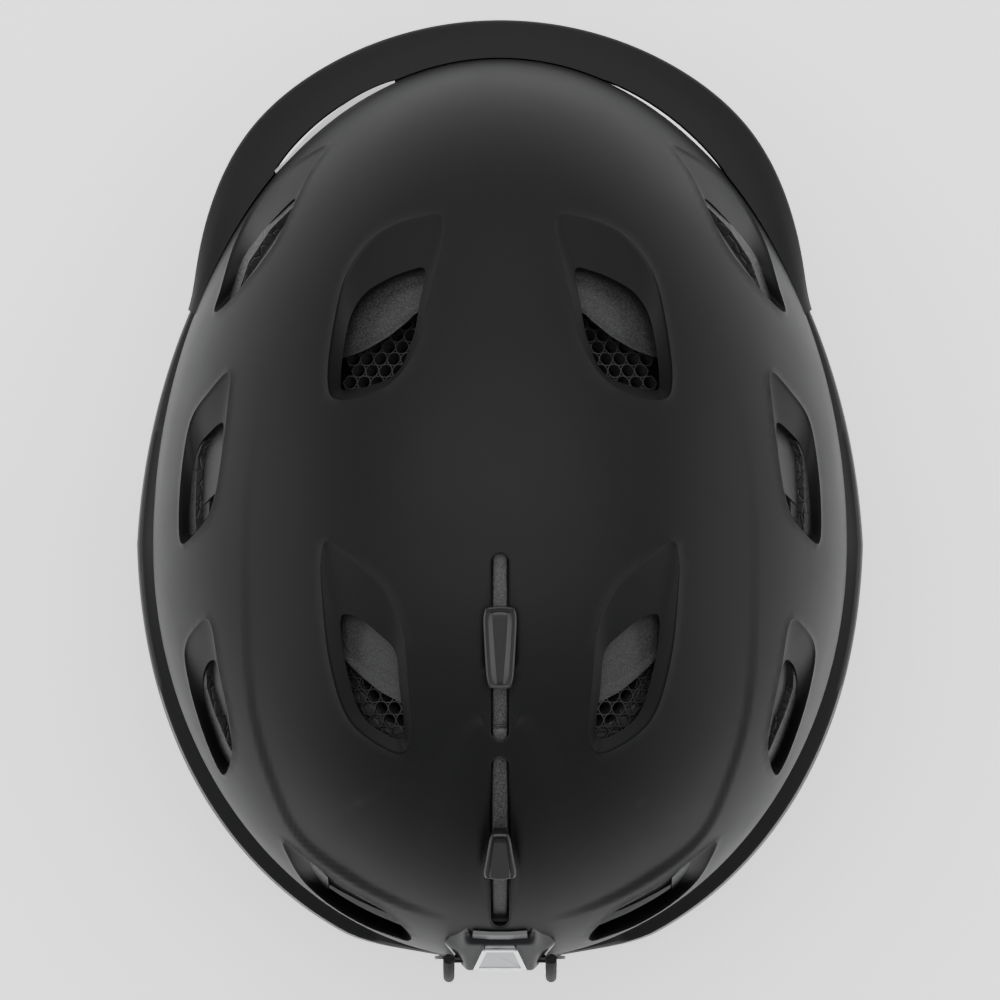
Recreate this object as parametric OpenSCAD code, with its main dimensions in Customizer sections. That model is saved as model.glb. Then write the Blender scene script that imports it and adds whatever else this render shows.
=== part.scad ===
// Ski helmet with a brimmed hard upper shell, a flared lower shell, two sliding vent controls,
// a snap-down goggle clip, a dial-adjusted fit band, ear pads and a buckled chin strap.
// Millimetres. +Z is up, +Y is the front, and the helmet stands on its ear pads at z = 0.

/* [Upper shell] */
// Full width of the upper shell
shell_w = 209; // [200:1:215]
// From the widest line of the shell forward to the brow
shell_front = 147; // [143:1:150]
// From the widest line of the shell back to the rear
shell_rear = 125; // [122:1:128]
// Height of the widest line above the ground
shell_mid_z = 95; // [93:0.5:97]
// Height of the crown above the widest line
crown_h = 120; // [117:1:123]
// Thickness of the hard shell
shell_t = 2.8; // [2.2:0.1:3]
// How square the dome is: 2 is an ellipsoid
dome_power = 2.2; // [2.1:0.05:2.3]

/* [Lower shell] */
// How far the lower shell stands out at the sides
side_flare = 5.1; // [3:0.1:6]
// How far the lower shell stands out at the back
rear_flare = 2.4; // [1:0.1:3]
// How much further it stands out at its rear quarters
rear_bulge = 4; // [0:0.5:5]

/* [Brim] */
// How far the tip of the brim stands in front of the widest line
brim_reach = 158; // [154:0.5:160]
// Thickness of the brim
brim_t = 3; // [2.4:0.1:3.6]

/* [Head cavity] */
// Width of the foam cavity
cavity_w = 159; // [152:1:164]
// Cavity in front of the widest line
cavity_front = 119; // [116:1:121]
// Cavity behind the widest line
cavity_rear = 95.5; // [93:0.5:97]
// Thickness of the comfort pads
pad_t = 6; // [4:0.5:7]

/* [Vent controls] */
// Width of the slots that the sliders run in
slot_w = 5.4; // [5:0.1:6]
// Thickness of the sliding shutters
shutter_t = 1.2; // [1:0.1:1.4]

/* [Fit dial] */
// Radius of the dial
dial_r = 14; // [12:0.5:14]
// Module of the dial's pinion and of the two racks
gear_module = 0.8; // [0.8]
// Teeth on the pinion
pinion_teeth = 10; // [10]

/* [Chin strap] */
// Width of the webbing
web_w = 20; // [16:1:22]
// Thickness of the webbing
web_t = 1.6; // [1.2:0.1:2]

/* [Hidden] */

// The widest line stands this far behind the origin.
mid_y = -13.5;
// Semi-axes of a dome: half width, front, rear, height.
outer_dome = [shell_w / 2, shell_front, shell_rear, crown_h];
cavity_dome = [cavity_w / 2, cavity_front, cavity_rear, 92];
fit_gap = 0.3;
// Segments round a full dome, and from its crown to its edge.
dome_m = 60;
dome_n = 14;
// Below the widest line one step of the profile is this many millimetres.
low_step = 2;
side_tuck = 0.04;
rear_tuck = 0.1;

function inset(dome, t) = [for (a = dome) a - t];
function mix(a, b, f) = a + (b - a) * f;
function bell(s) = pow(abs(s), 1.5);

// Distance from the dome's axis to its plan outline, in the direction al.
function plan_r(dome, al) =
    let (b = sin(al) >= 0 ? dome[1] : dome[2])
    1 / sqrt(pow(cos(al) / dome[0], 2) + pow(sin(al) / b, 2));

// How much the outline draws in below the widest line.
function tuck(al) = sin(al) < 0 ? mix(side_tuck, rear_tuck, -sin(al)) : side_tuck;

// A point of a dome. Latitude w is 90 at the crown, 0 at the widest line, and negative below it.
function skin(dome, al, w) =
    let (
        k = w >= 0 ? pow(cos(w), 2 / dome_power) : 1 - tuck(al) * pow(w * low_step / 60, 2),
        z = w >= 0 ? dome[3] * pow(sin(w), 2 / dome_power) : w * low_step,
        r = k * plan_r(dome, al)
    )
    [r * cos(al), mid_y + r * sin(al), shell_mid_z + z];

function w_at(dome, z) =
    z >= shell_mid_z
        ? asin(min(1, pow((z - shell_mid_z) / dome[3], dome_power / 2)))
        : (z - shell_mid_z) / low_step;

function skin_at(dome, al, z) = skin(dome, al, w_at(dome, z));

// The point of a dome above a place in plan.
function lift(dome, x, y) =
    let (
        al = atan2(y - mid_y, x),
        k = min(1, norm([x, y - mid_y]) / plan_r(dome, al))
    )
    [x, y, shell_mid_z + dome[3] * pow(1 - pow(k, dome_power), 1 / dome_power)];

// Heights of the upper shell's edge and of the lower rim, round the helmet.
function seam_z(al) = let (s = sin(al)) s > 0 ? 97 + 11 * bell(s) : 97 - 19 * bell(s);
function rim_z(al) = let (s = sin(al)) s > 0 ? 70 + 29 * bell(s) : 70 - 28 * bell(s);
function flare(al) =
    let (s = sin(al))
    s < 0 ? mix(side_flare, rear_flare, -s) + rear_bulge * ease((1 + s) / 0.07) * (1 - ease(1 + s))
        : side_flare * max(0, 1 - s / 0.9);

// A closed wall between two grids of points. Rows run down and columns run anticlockwise.
module wall(outer, inner, wrap = false, cap = false) {
    n = len(outer);
    m = len(outer[0]);
    half = n * m;
    cols = wrap ? m : m - 1;
    function at(side, j, i) = side * half + j * m + i % m;
    points = [for (grid = [outer, inner], row = grid, p = row) p];
    skins = [
        for (j = [0 : n - 2], i = [0 : cols - 1])
            let (a = [j, i], b = [j, i + 1], c = [j + 1, i + 1], d = [j + 1, i])
            each [
                [for (p = [a, b, c]) at(0, p[0], p[1])],
                [for (p = [a, c, d]) at(0, p[0], p[1])],
                [for (p = [c, b, a]) at(1, p[0], p[1])],
                [for (p = [d, c, a]) at(1, p[0], p[1])]
            ]
    ];
    bottom = [
        for (i = [0 : cols - 1])
            let (a = at(0, n - 1, i), b = at(0, n - 1, i + 1), c = at(1, n - 1, i + 1), d = at(1, n - 1, i))
            each [[a, b, c], [a, c, d]]
    ];
    top = cap
        ? [[for (i = [m - 1 : -1 : 0]) at(0, 0, i)], [for (i = [0 : m - 1]) at(1, 0, i)]]
        : [
            for (i = [0 : cols - 1])
                let (a = at(0, 0, i), b = at(0, 0, i + 1), c = at(1, 0, i + 1), d = at(1, 0, i))
                each [[b, a, d], [b, d, c]]
        ];
    sides = wrap ? [] : [
        for (j = [0 : n - 2])
            let (
                a = at(0, j, 0), b = at(0, j + 1, 0), c = at(1, j + 1, 0), d = at(1, j, 0),
                e = at(0, j, m - 1), f = at(0, j + 1, m - 1), g = at(1, j + 1, m - 1), h = at(1, j, m - 1)
            )
            each [[a, b, c], [a, c, d], [f, e, h], [f, h, g]]
    ];
    polyhedron(points, concat(skins, bottom, top, sides), convexity = 10);
}

// Rows of a whole dome, from a small flat at the crown to its edge.
crown_w = 88;
function dome_rows(dome, edge) = [
    for (j = [0 : dome_n])
        [for (i = [0 : dome_m - 1])
            let (al = i * 360 / dome_m, w = mix(crown_w, w_at(dome, edge(al)), j / dome_n))
            skin(dome, al, w)]
];

// A slab between two depths of a dome, over part of its turn and height.
module patch(dome, t0, t1, al0, al1, top, bottom, m = 12, n = 4) {
    function grid(t) = [
        for (j = [0 : n])
            [for (i = [0 : m])
                let (al = mix(al0, al1, i / m))
                skin_at(inset(dome, t), al, mix(top(al), bottom(al), j / n))]
    ];
    wall(grid(t0), grid(t1));
}

// The same solid as one mesh, where a shell has many windows.
module meshed() { resize([0, 0, 0]) children(); }
module both_sides() {
    children();
    mirror([1, 0, 0]) children();
}

// ---- Vents. Each is the plan outline of its hole on the right-hand side.
vent_front = [[22, 68], [33, 65.4], [41.3, 60], [45, 53], [47.3, 34.8], [46, 32.7], [37, 34.2], [30, 38.4],
    [26, 48]];
vent_crown_rear = [[46.7, -34.5], [42.5, -34.5], [33, -42], [30.8, -45.3], [29.3, -60.6], [29, -70.5],
    [37.4, -67.5], [44, -57.6], [46.7, -43]];
vent_temple = [[61.7, 89.4], [70.7, 80.7], [75.8, 73.2], [78.8, 64.2], [72.2, 70.8], [66.2, 79.2]];
vent_side_front = [[82.4, 22.8], [90, 15.9], [91.4, 12], [92, -4.2], [91.7, -9], [87.5, -6], [84.8, 0],
    [83.3, 9]];
vent_side_rear = [[84.8, -48], [88.5, -51], [88.4, -58.8], [86, -66], [80.7, -78], [80, -72.6], [82, -60]];
vent_rear = [[55.4, -108.6], [54.2, -112.5], [48, -118.8], [36, -125.4], [29.6, -127.5], [39.8, -120],
    [48, -115.2]];
vents = [vent_front, vent_crown_rear, vent_temple, vent_side_front, vent_side_rear, vent_rear];

function mean(list) = list * [for (p = list) 1] / len(list);
function centroid(list) = [for (k = [0 : len(list[0]) - 1]) mean([for (p = list) p[k]])];
function unit(v) = v / norm(v);

// A frame at the middle of a vent: x goes forward along the shell, and z points out of it.
function vent_frame(outline) =
    let (
        c = centroid(outline),
        o = lift(outer_dome, c[0], c[1]),
        gx = lift(outer_dome, c[0] + 1, c[1]) - lift(outer_dome, c[0] - 1, c[1]),
        gy = lift(outer_dome, c[0], c[1] + 1) - lift(outer_dome, c[0], c[1] - 1),
        z = unit(cross(gx, gy)),
        x = unit(gy - (gy * z) * z),
        y = cross(z, x)
    )
    [x, y, z, o];

function local_outline(outline) =
    let (f = vent_frame(outline))
    [for (p = outline) let (d = lift(outer_dome, p[0], p[1]) - f[3]) [d * f[0], d * f[1]]];

module in_vent(outline) {
    f = vent_frame(outline);
    multmatrix([for (k = [0 : 2]) [f[0][k], f[1][k], f[2][k], f[3][k]]]) children();
}

module vent_window(outline, grow, from, to) {
    in_vent(outline)
        translate([0, 0, from])
        linear_extrude(to - from)
        offset(delta = grow)
        polygon(local_outline(outline));
}

cell_pitch = 5.6;
cell_wall = 0.8;
// A block of straight tubes that fills the foam's window under a vent.
module honeycomb(outline, top, depth) {
    rows = 8;
    cell_r = (cell_pitch - cell_wall) / sqrt(3);
    in_vent(outline)
        translate([0, 0, top - depth])
        linear_extrude(depth)
        difference() {
            polygon(local_outline(outline));
            for (i = [-rows : rows], j = [-rows : rows]) {
                c = [(i + (j % 2 == 0 ? 0 : 0.5)) * cell_pitch, j * cell_pitch * sqrt(3) / 2];
                if (holds(local_outline(outline), c, cell_r + cell_wall))
                    translate(c) rotate(30) circle(cell_r, $fn = 6);
            }
        }
}

// True if a disc of radius r round c lies inside a polygon.
function holds(poly, c, r) =
    let (n = len(poly))
    inside(poly, c) && min([for (i = [0 : n - 1]) gap_to(poly[i], poly[(i + 1) % n], c)]) > r;
function gap_to(a, b, c) =
    let (f = max(0, min(1, ((c - a) * (b - a)) / ((b - a) * (b - a))))) norm(c - mix(a, b, f));
function inside(poly, c) =
    let (
        n = len(poly),
        hits = [
            for (i = [0 : n - 1])
                let (a = poly[i], b = poly[(i + 1) % n])
                if ((a[1] > c[1]) != (b[1] > c[1])
                    && c[0] < a[0] + (c[1] - a[1]) / (b[1] - a[1]) * (b[0] - a[0])) 1
        ]
    )
    len(hits) % 2 == 1;

// ---- Vent controls. Each shutter turns about a cross axis deep in the helmet, so it follows the shell.
// [y, z of the axis, outer radius of the shutter at the middle, how fast that falls off sideways]
front_arc = [-9.6, 26.5, 182.2, 0.0071];
rear_arc = [-26.6, 101.6, 106.2, 0.0058];
front_slot = [-16, -71.5];
rear_slot = [-76.5, -127.5];
front_knob_y = -42.7;
rear_knob_y = -104.5;

function arc_a(arc, y) = asin((y - arc[0]) / arc[2]);
// The shutters' cross-section is a chain of short straights, all broken at the same places.
arc_step = 6;
function arc_r(arc, x) =
    let (a = floor(x / arc_step) * arc_step, b = a + arc_step)
    arc[2] - arc[3] * mix(a * a, b * b, (x - a) / arc_step);

// A plate that bends round the arc's axis, from y0 back to y1 and from x0 to x1.
module arc_plate(arc, y0, y1, x0, x1, over = 0, under = shutter_t) {
    a0 = arc_a(arc, y0);
    breaks = [for (k = [floor(x0 / arc_step) + 1 : ceil(x1 / arc_step) - 1]) k * arc_step];
    xs = concat([x0], breaks, [x1]);
    profile = concat(
        [for (x = xs) [arc_r(arc, x) + over, x]],
        [for (i = [len(xs) - 1 : -1 : 0]) [arc_r(arc, xs[i]) - under, xs[i]]]
    );
    multmatrix([[0, 0, 1, 0], [sin(a0), -cos(a0), 0, arc[0]], [cos(a0), sin(a0), 0, arc[1]]])
        rotate_extrude(angle = a0 - arc_a(arc, y1), $fn = 180) polygon(profile);
}

// Puts its children at the shell over a place on the middle line: y forward, z out of the shell.
module on_arc(arc, y) {
    a = arc_a(arc, y);
    translate([0, arc[0], arc[1]]) rotate([-a, 0, 0]) children();
}

module slot_cut(arc, slot) {
    r = slot_w / 2;
    // The slot's ends are half round, and a hair wider than its straight stretch.
    front = slot[0] - r;
    rear = slot[1] + r;
    arc_plate(arc, front, rear, -r + 0.03, r - 0.03, over = 12, under = 3);
    for (y = [front, rear]) on_arc(arc, y) translate([0, 0, arc[2] - 3]) cylinder(r = r, h = 15, $fn = 24);
}

blade_x = 49.5;
strip_x = 7;
// A rib on each shutter's middle strip fills the slot above it.
rib_w = 4.4;
rib_h = 1.3;

// A bent plate, cut back behind its blade to a middle strip and, before that, to two arms.
module shutter(arc, front, window, blade_rear, rear, arm_x, rib_front, rib_rear) {
    difference() {
        arc_plate(arc, front, rear, -blade_x, blade_x);
        both_sides() {
            arc_plate(arc, window, rear - 1, strip_x, arm_x, over = 2, under = 4);
            arc_plate(arc, blade_rear, rear - 1, strip_x + 1, blade_x + 1, over = 2, under = 4);
        }
    }
    arc_plate(arc, rib_front, rib_rear, -rib_w / 2, rib_w / 2, over = rib_h, under = shutter_t / 2);
}

module front_shutter() {
    color("#2b2b2b")
        shutter(front_arc, 70, 57, 50, -77, arm_x = 19, rib_front = 14, rib_rear = -72);
}

module rear_shutter() {
    color("#3a3a3a")
        shutter(rear_arc, -22, -31, -60, -131.5, arm_x = 25, rib_front = -60, rib_rear = -131);
}

// Room that a shutter needs in the foam, over its whole travel.
module shutter_room(arc, front, rear) {
    arc_plate(arc, front, rear, -blade_x - 2, blade_x + 2, over = 16, under = shutter_t + 0.6);
}

// Height of the shell's outside over the arc, on the middle line.
function shell_r(arc, y) = norm([lift(outer_dome, 0, y)[1] - arc[0], lift(outer_dome, 0, y)[2] - arc[1]]);

knob_l = 25.5;
knob_wide = 9.6;
knob_narrow = 7;
knob_h = 3.8;
module slider_knob(arc, y, wide_at) {
    base = shell_r(arc, y) + 0.8;
    on_arc(arc, y) translate([0, 0, base]) {
        hull() {
            translate([-knob_wide / 2, wide_at * (knob_l / 2 - 3) - 1.5, 0]) cube([knob_wide, 3, 1.6]);
            translate([-knob_wide / 2 + 1.4, wide_at * (knob_l / 2 - 3) - 1.5, 0])
                cube([knob_wide - 2.8, 3, knob_h]);
            translate([-knob_narrow / 2, -wide_at * knob_l / 2 - (wide_at < 0 ? 2 : 0), 0])
                cube([knob_narrow, 2, 1.6]);
            translate([-knob_narrow / 2 + 1.2, -wide_at * knob_l / 2 - (wide_at < 0 ? 2 : 0), 0])
                cube([knob_narrow - 2.4, 2, 2.6]);
        }
        // The neck reaches down through the slot to the shutter.
        translate([-slot_w / 2 + 0.5, -7, arc[2] + rib_h - base])
            cube([slot_w - 1, 14, base - arc[2] - rib_h + 0.5]);
    }
}

module front_slider_knob() { color("#1b1b1b") slider_knob(front_arc, front_knob_y, 1); }
module rear_slider_knob() { color("#1b1b1b") slider_knob(rear_arc, rear_knob_y, -1); }

// ---- Shells
module upper_shell() {
    color("#222222") meshed() difference() {
        wall(dome_rows(outer_dome, function(al) seam_z(al)),
            dome_rows(inset(outer_dome, shell_t), function(al) seam_z(al)), wrap = true, cap = true);
        both_sides() for (v = vents) vent_window(v, 0, -16, 14);
        slot_cut(front_arc, front_slot);
        slot_cut(rear_arc, rear_slot);
    }
}

// Rows of the lower shell: a rolled top edge, the flared face and the rim.
module lower_shell() {
    m = 60;
    function row(drop, out) = [
        for (i = [0 : m - 1])
            let (al = i * 360 / m, top = seam_z(al) - 0.6)
            skin_at(inset(outer_dome, -flare(al) * out), al, mix(top, rim_z(al), drop))
    ];
    function lining(drop) = [
        for (i = [0 : m - 1])
            let (al = i * 360 / m, top = seam_z(al) - 0.6)
            skin_at(inset(outer_dome, shell_t), al, mix(top, rim_z(al), drop))
    ];
    drops = [0, 0.12, 0.5, 0.9, 1];
    outs = [0.75, 1, 1, 0.8, 0.6];
    color("#4a4a4a") meshed() difference() {
        wall([for (k = [0 : 4]) row(drops[k], outs[k])], [for (d = drops) lining(d)], wrap = true);
        cord_holes(3.2);
    }
}

// ---- Brim
brim_tail = 37;
brim_corner = 58;
// The outline sweeps back from the tip, then its tails run in to the flared lower shell.
function brim_r(al) =
    let (
        a = 90 - abs(90 - al),
        sweep = min(brim_reach - 10.3 * pow((90 - a) / 30, 2), brim_reach - 10.7 - 1.5 * (brim_corner - a))
    )
    max(sweep, plan_r(outer_dome, a) + flare(a) + 0.4);

// The brim's inner edge stands off the shell in two narrow air slots.
slot_from = 56;
slot_to = 76;
air_slot = 1.6;
function brim_gap(al) =
    let (a = 90 - abs(90 - al), f = (a - slot_from) / (slot_to - slot_from))
    fit_gap + (f > 0 && f < 1 ? air_slot * sin(180 * f) : 0);

module brim() {
    m = 56;
    n = 4;
    drop = 5;
    function at(al, f, z) =
        let (r = mix(plan_r(outer_dome, al) + brim_gap(al), brim_r(al), f))
        [r * cos(al), mid_y + r * sin(al), z - drop * f * f];
    function face(z, thin) = [
        for (j = [0 : n])
            [for (i = [0 : m])
                let (al = mix(brim_tail, 180 - brim_tail, i / m))
                at(al, j / n, z + thin * j / n)]
    ];
    color("#1c1c1c") wall(face(107.6, 0), face(107.6 - brim_t, 0.8));
}

module accent_plate() {
    color("#e8e8e8")
        patch(outer_dome, -0.15, -0.75, 107, 119, function(al) 115 - abs(al - 112) * 0.6,
            function(al) 108.4, m = 8, n = 2);
}

// ---- Foam
module eps_liner() {
    color("#1a1a1a") meshed() difference() {
        wall(dome_rows(inset(outer_dome, shell_t + fit_gap), function(al) rim_z(al) + 1),
            dome_rows(cavity_dome, function(al) rim_z(al) + 1), wrap = true, cap = true);
        shutter_room(front_arc, 89, -106);
        shutter_room(rear_arc, -8, -136);
        both_sides() for (v = vents) vent_window(v, 0.3, -50, 14);
        // Shallow pockets leave room for the dished skin round the side vents.
        both_sides() for (v = [vent_temple, vent_side_front, vent_side_rear, vent_rear])
            vent_window(v, 4.5, -6.6, 14);
    }
}

comb_depth = 10;
deep_comb = -13.5;
shallow_comb = -6.8;
module honeycomb_front() { color("#0c0c0c") both_sides() honeycomb(vent_front, deep_comb, comb_depth); }
module honeycomb_crown_rear() {
    color("#0c0c0c") both_sides() honeycomb(vent_crown_rear, deep_comb, comb_depth);
}
module honeycomb_temple() { color("#0c0c0c") both_sides() honeycomb(vent_temple, shallow_comb, comb_depth); }
module honeycomb_side() {
    color("#0c0c0c") both_sides() {
        honeycomb(vent_side_front, shallow_comb, comb_depth);
        honeycomb(vent_side_rear, shallow_comb, comb_depth);
    }
}
module honeycomb_rear() { color("#0c0c0c") both_sides() honeycomb(vent_rear, deep_comb, 8); }

// ---- Comfort pads
module pad(al0, al1, top, bottom, m = 12, n = 4) {
    color("#303030")
        patch(cavity_dome, fit_gap, pad_t, al0, al1, function(al) top, function(al) bottom, m, n);
}

module crown_pad() {
    rows = 5;
    function grid(t) = [
        for (j = [0 : rows])
            [for (i = [0 : 35])
                skin(inset(cavity_dome, t), i * 10, mix(crown_w, 64, j / rows))]
    ];
    color("#303030") wall(grid(fit_gap), grid(pad_t), wrap = true, cap = true);
}
module brow_pad() { pad(48, 132, 126, 103, 16); }
module side_pads() { both_sides() pad(-24, 30, 116, 92); }
module rear_pads() { both_sides() pad(-77, -38, 104, 78); }

// ---- Fit system
band_thick = 1.6;
band_end = 241;
nape_z = 24;
function ease(f) = let (c = max(0, min(1, f))) c * c * (3 - 2 * c);
function band_z(al) =
    let (s = sin(al)) s > 0 ? 84 + 28 * bell(s) : mix(84, nape_z, ease((-s - 0.15) / 0.65));
// The band leaves the foam below the rim and widens to meet the dial's racks.
function band_t(al) = mix(8, -9, ease((-sin(al) - 0.5) / 0.36));
// Its ends narrow to pass between the two racks.
function band_half(al) = mix(6, 2.4, ease((-sin(al) - 0.62) / 0.15));
module halo_band() {
    sleeve_x = [33, 55];
    function grid(t) = [
        for (j = [-1 : 1])
            [for (i = [0 : 64])
                let (al = mix(180 - band_end, band_end, i / 64))
                skin_at(inset(cavity_dome, band_t(al) + t), al, band_z(al) - j * band_half(al))]
    ];
    color("#2a2a2a") {
        wall(grid(0), grid(band_thick));
        // Sleeves that the racks' outer ends slide in.
        both_sides() difference() {
            translate([sleeve_x[0], rack_y - rack_t / 2 - 1.5, nape_z - 9])
                cube([sleeve_x[1] - sleeve_x[0], rack_t + 3.4, 18]);
            translate([sleeve_x[0] - 1, rack_y - rack_t / 2 - 0.3, nape_z - 7.4])
                cube([sleeve_x[1] - sleeve_x[0] + 2, rack_t + 0.6, 14.8]);
        }
    }
}

// Pinion and racks: 25 degree teeth with a little backlash.
pressure = 25;
pitch_r = gear_module * pinion_teeth / 2;
addendum = 0.8 * gear_module;
dedendum = gear_module;
backlash = 0.12;
tooth_pitch = PI * gear_module;
rack_t = 4;
rack_y = -92;
rack_h = 2.6;
base_r = pitch_r * cos(pressure);
function inv(a) = tan(a) * 180 / PI - a;
// Half of a tooth's angle at radius r, with part of the backlash taken off.
function tooth_half(r) =
    let (a = acos(min(1, base_r / r)))
    90 / pinion_teeth - backlash / 2 / pitch_r * 180 / PI + inv(pressure) - inv(a);
function polar(r, a) = [r * cos(a), r * sin(a)];
module pinion_profile() {
    root_r = pitch_r - dedendum;
    radii = [for (k = [0 : 5]) mix(max(base_r, root_r), pitch_r + addendum, k / 5)];
    polygon([
        for (i = [0 : pinion_teeth - 1])
            let (c = 90 + i * 360 / pinion_teeth)
            each concat(
                [polar(root_r, c - 180 / pinion_teeth)],
                [polar(root_r, c - tooth_half(radii[0]))],
                [for (r = radii) polar(r, c - tooth_half(r))],
                [for (k = [5 : -1 : 0]) polar(radii[k], c + tooth_half(radii[k]))],
                [polar(root_r, c + tooth_half(radii[0]))]
            )
    ]);
}

// A rack whose teeth point down to the pitch line, and that has a gap at x = 0.
module rack_profile(x0, x1) {
    quarter = tooth_pitch / 4 - backlash / 2;
    slope = tan(pressure);
    difference() {
        translate([x0, -addendum]) square([x1 - x0, addendum + rack_h]);
        for (k = [ceil(x0 / tooth_pitch) : floor(min(x1, 16) / tooth_pitch)])
            if (k * tooth_pitch > max(x0, -16)) translate([k * tooth_pitch, 0])
                polygon([
                    [-(tooth_pitch / 2 - quarter) - slope * (addendum + 1), -addendum - 1],
                    [-(tooth_pitch / 2 - quarter) + slope * dedendum, dedendum],
                    [(tooth_pitch / 2 - quarter) - slope * dedendum, dedendum],
                    [(tooth_pitch / 2 - quarter) + slope * (addendum + 1), -addendum - 1]
                ]);
    }
}

module upright(y, t) { translate([0, y + t / 2, nape_z]) rotate([90, 0, 0]) linear_extrude(t) children(); }
rack_in = 15;
rack_out = 47;
module rack_left() {
    color("#555555") upright(rack_y, rack_t) translate([0, pitch_r]) rack_profile(-rack_out, rack_in);
}
module rack_right() {
    color("#555555") upright(rack_y, rack_t)
        rotate(180) translate([0, pitch_r]) rack_profile(-rack_out, rack_in);
}
module dial_pinion() { color("#666666") upright(rack_y, rack_t) pinion_profile(); }

shaft_r = 2.4;
housing = [58, 9, 24];
housing_y = -97.5;
module dial_housing() {
    color("#262626") difference() {
        translate([-housing[0] / 2, housing_y, nape_z - housing[2] / 2]) cube([housing[0], housing[1], housing[2]]);
        // Channel for the racks and pinion, open to the front and the ends.
        translate([-40, rack_y - rack_t / 2 - 0.3, nape_z - 7.4]) cube([80, 20, 14.8]);
        // Bearing for the dial's shaft.
        translate([0, housing_y + 10, nape_z]) rotate([90, 0, 0]) cylinder(r = shaft_r + 0.06, h = 20, $fn = 48);
    }
}
module dial_cover() {
    color("#303030")
        translate([-30, rack_y + rack_t / 2 + 0.3, nape_z - 7.2]) cube([60, 1.4, 14.4]);
}
module fit_dial() {
    face_y = housing_y - 0.5;
    depth = 9;
    grips = 18;
    color("#1e1e1e") {
        difference() {
            translate([0, face_y, nape_z]) rotate([90, 0, 0]) cylinder(r = dial_r, h = depth, $fn = 72);
            for (i = [0 : grips - 1]) rotate_about_y(i * 360 / grips)
                translate([dial_r + 0.6, face_y - 1.5, 0]) rotate([90, 0, 0])
                cylinder(r = 1.5, h = depth, $fn = 16);
        }
        translate([0, rack_y - rack_t / 2, nape_z]) rotate([90, 0, 0])
            cylinder(r = shaft_r, h = rack_y - rack_t / 2 - face_y + 0.5, $fn = 48);
    }
}
module rotate_about_y(a) { translate([0, 0, nape_z]) rotate([0, a, 0]) children(); }
module cradle_hanger() {
    color("#242424") {
        patch(cavity_dome, 1, 3, 261, 279, function(al) 84, function(al) 39.5, m = 4, n = 6);
        // A stepped foot joins the strip to the housing, clear of the dial.
        translate([-8, housing_y + 0.5, nape_z + housing[2] / 2]) cube([16, 8, 6]);
        translate([-8, housing_y - 3.2, nape_z + housing[2] / 2 + 3]) cube([16, 5, 3]);
    }
}
module nape_pad() {
    r = mid_y - rack_y - rack_t / 2 - 2;
    color("#343434") translate([0, mid_y, nape_z - 13]) rotate(246) rotate_extrude(angle = 48, $fn = 120)
        polygon([[r - 4.4, 2], [r - 3.4, 0], [r, 0], [r, 26], [r - 3.4, 26], [r - 4.4, 24]]);
}

// ---- Ear pads
ear_al = [-38, 30];
ear_t = 16;
ear_dome = inset(outer_dome, 8);
ear_rows = 10;
ear_cols = 14;
// The pad narrows towards its foot, with round lower corners.
function ear_u(v, u) =
    let (shrink = pow(v, 3))
    mix(mix(ear_al[0], -30, shrink), mix(ear_al[1], 14, shrink), u);
function ear_top(al) = rim_z(al) - 2;
module ear_pad() {
    function grid(t) = [
        for (j = [0 : ear_rows])
            [for (i = [0 : ear_cols])
                let (v = j / ear_rows, al = ear_u(v, i / ear_cols))
                skin_at(inset(ear_dome, t), al, mix(ear_top(al), 0, v))]
    ];
    color("#2c2c2c") wall(grid(0), grid(ear_t));
}
module ear_pad_rail() {
    color("#1a1a1a")
        patch(ear_dome, 3, 8, -32, 24, function(al) rim_z(al) + 0.4, function(al) rim_z(al) - 1.8, m = 12, n = 1);
}
// Round perforated plate on the outside of the pad, leaning with it.
grille_z = 36;
module ear_grille() {
    place = skin_at(ear_dome, 0, grille_z);
    color("#3c3c3c") translate(place + [0.05, 0, 0]) rotate([0, 97.3, 0]) difference() {
        cylinder(r = 15, h = 1.5, $fn = 64);
        for (ring = [1 : 3], i = [0 : ring * 6 - 1])
            rotate(i * 60 / ring) translate([ring * 3.8, 0, -1]) cylinder(r = 1.2, h = 4, $fn = 16);
    }
}
module ear_pad_right() { ear_pad(); }
module ear_pad_left() { mirror([1, 0, 0]) ear_pad(); }
module ear_pad_rail_right() { ear_pad_rail(); }
module ear_pad_rail_left() { mirror([1, 0, 0]) ear_pad_rail(); }
module ear_grille_right() { ear_grille(); }
module ear_grille_left() { mirror([1, 0, 0]) ear_grille(); }

// ---- Straps
strap_y = 4;
strap_dome = inset(ear_dome, ear_t + fit_gap);
divider_al = 13;
divider_z = 22;
// Azimuth and height of the plates that hold the straps' upper ends.
anchor_places = [[34, 92], [-30, 72]];
anchor_t = 2.2;
// How far the straps stand in from their own dome to pass over the plates.
anchor_stand = 6;
// One leg of the yoke, from its anchor down to the divider.
module yoke_leg(al, z) {
    half = 5.2;
    steps = 8;
    function grid(t) = [
        for (j = [0 : steps])
            let (f = j / steps, c = mix(al, divider_al + (al > divider_al ? 3 : -4), f), h = mix(z, divider_z + 5, f))
            [for (i = [-1 : 1])
                skin_at(inset(strap_dome, t + mix(anchor_stand, 0, ease(f))), c + i * half / 1.6,
                    h + i * half * 0.5 * (al > 0 ? -1 : 1))]
    ];
    wall(grid(0), grid(web_t));
}
module strap_yoke() {
    color("#202020") {
        yoke_leg(anchor_places[0][0], anchor_places[0][1]);
        yoke_leg(anchor_places[1][0], anchor_places[1][1]);
    }
}
module strap_divider() {
    color("#151515")
        patch(strap_dome, 0, 4, divider_al - 8, divider_al + 8, function(al) divider_z + 1.5,
            function(al) divider_z - 8, m = 3, n = 2);
}
module strap_yoke_right() { strap_yoke(); }
module strap_yoke_left() { mirror([1, 0, 0]) strap_yoke(); }
module strap_divider_right() { strap_divider(); }
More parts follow.
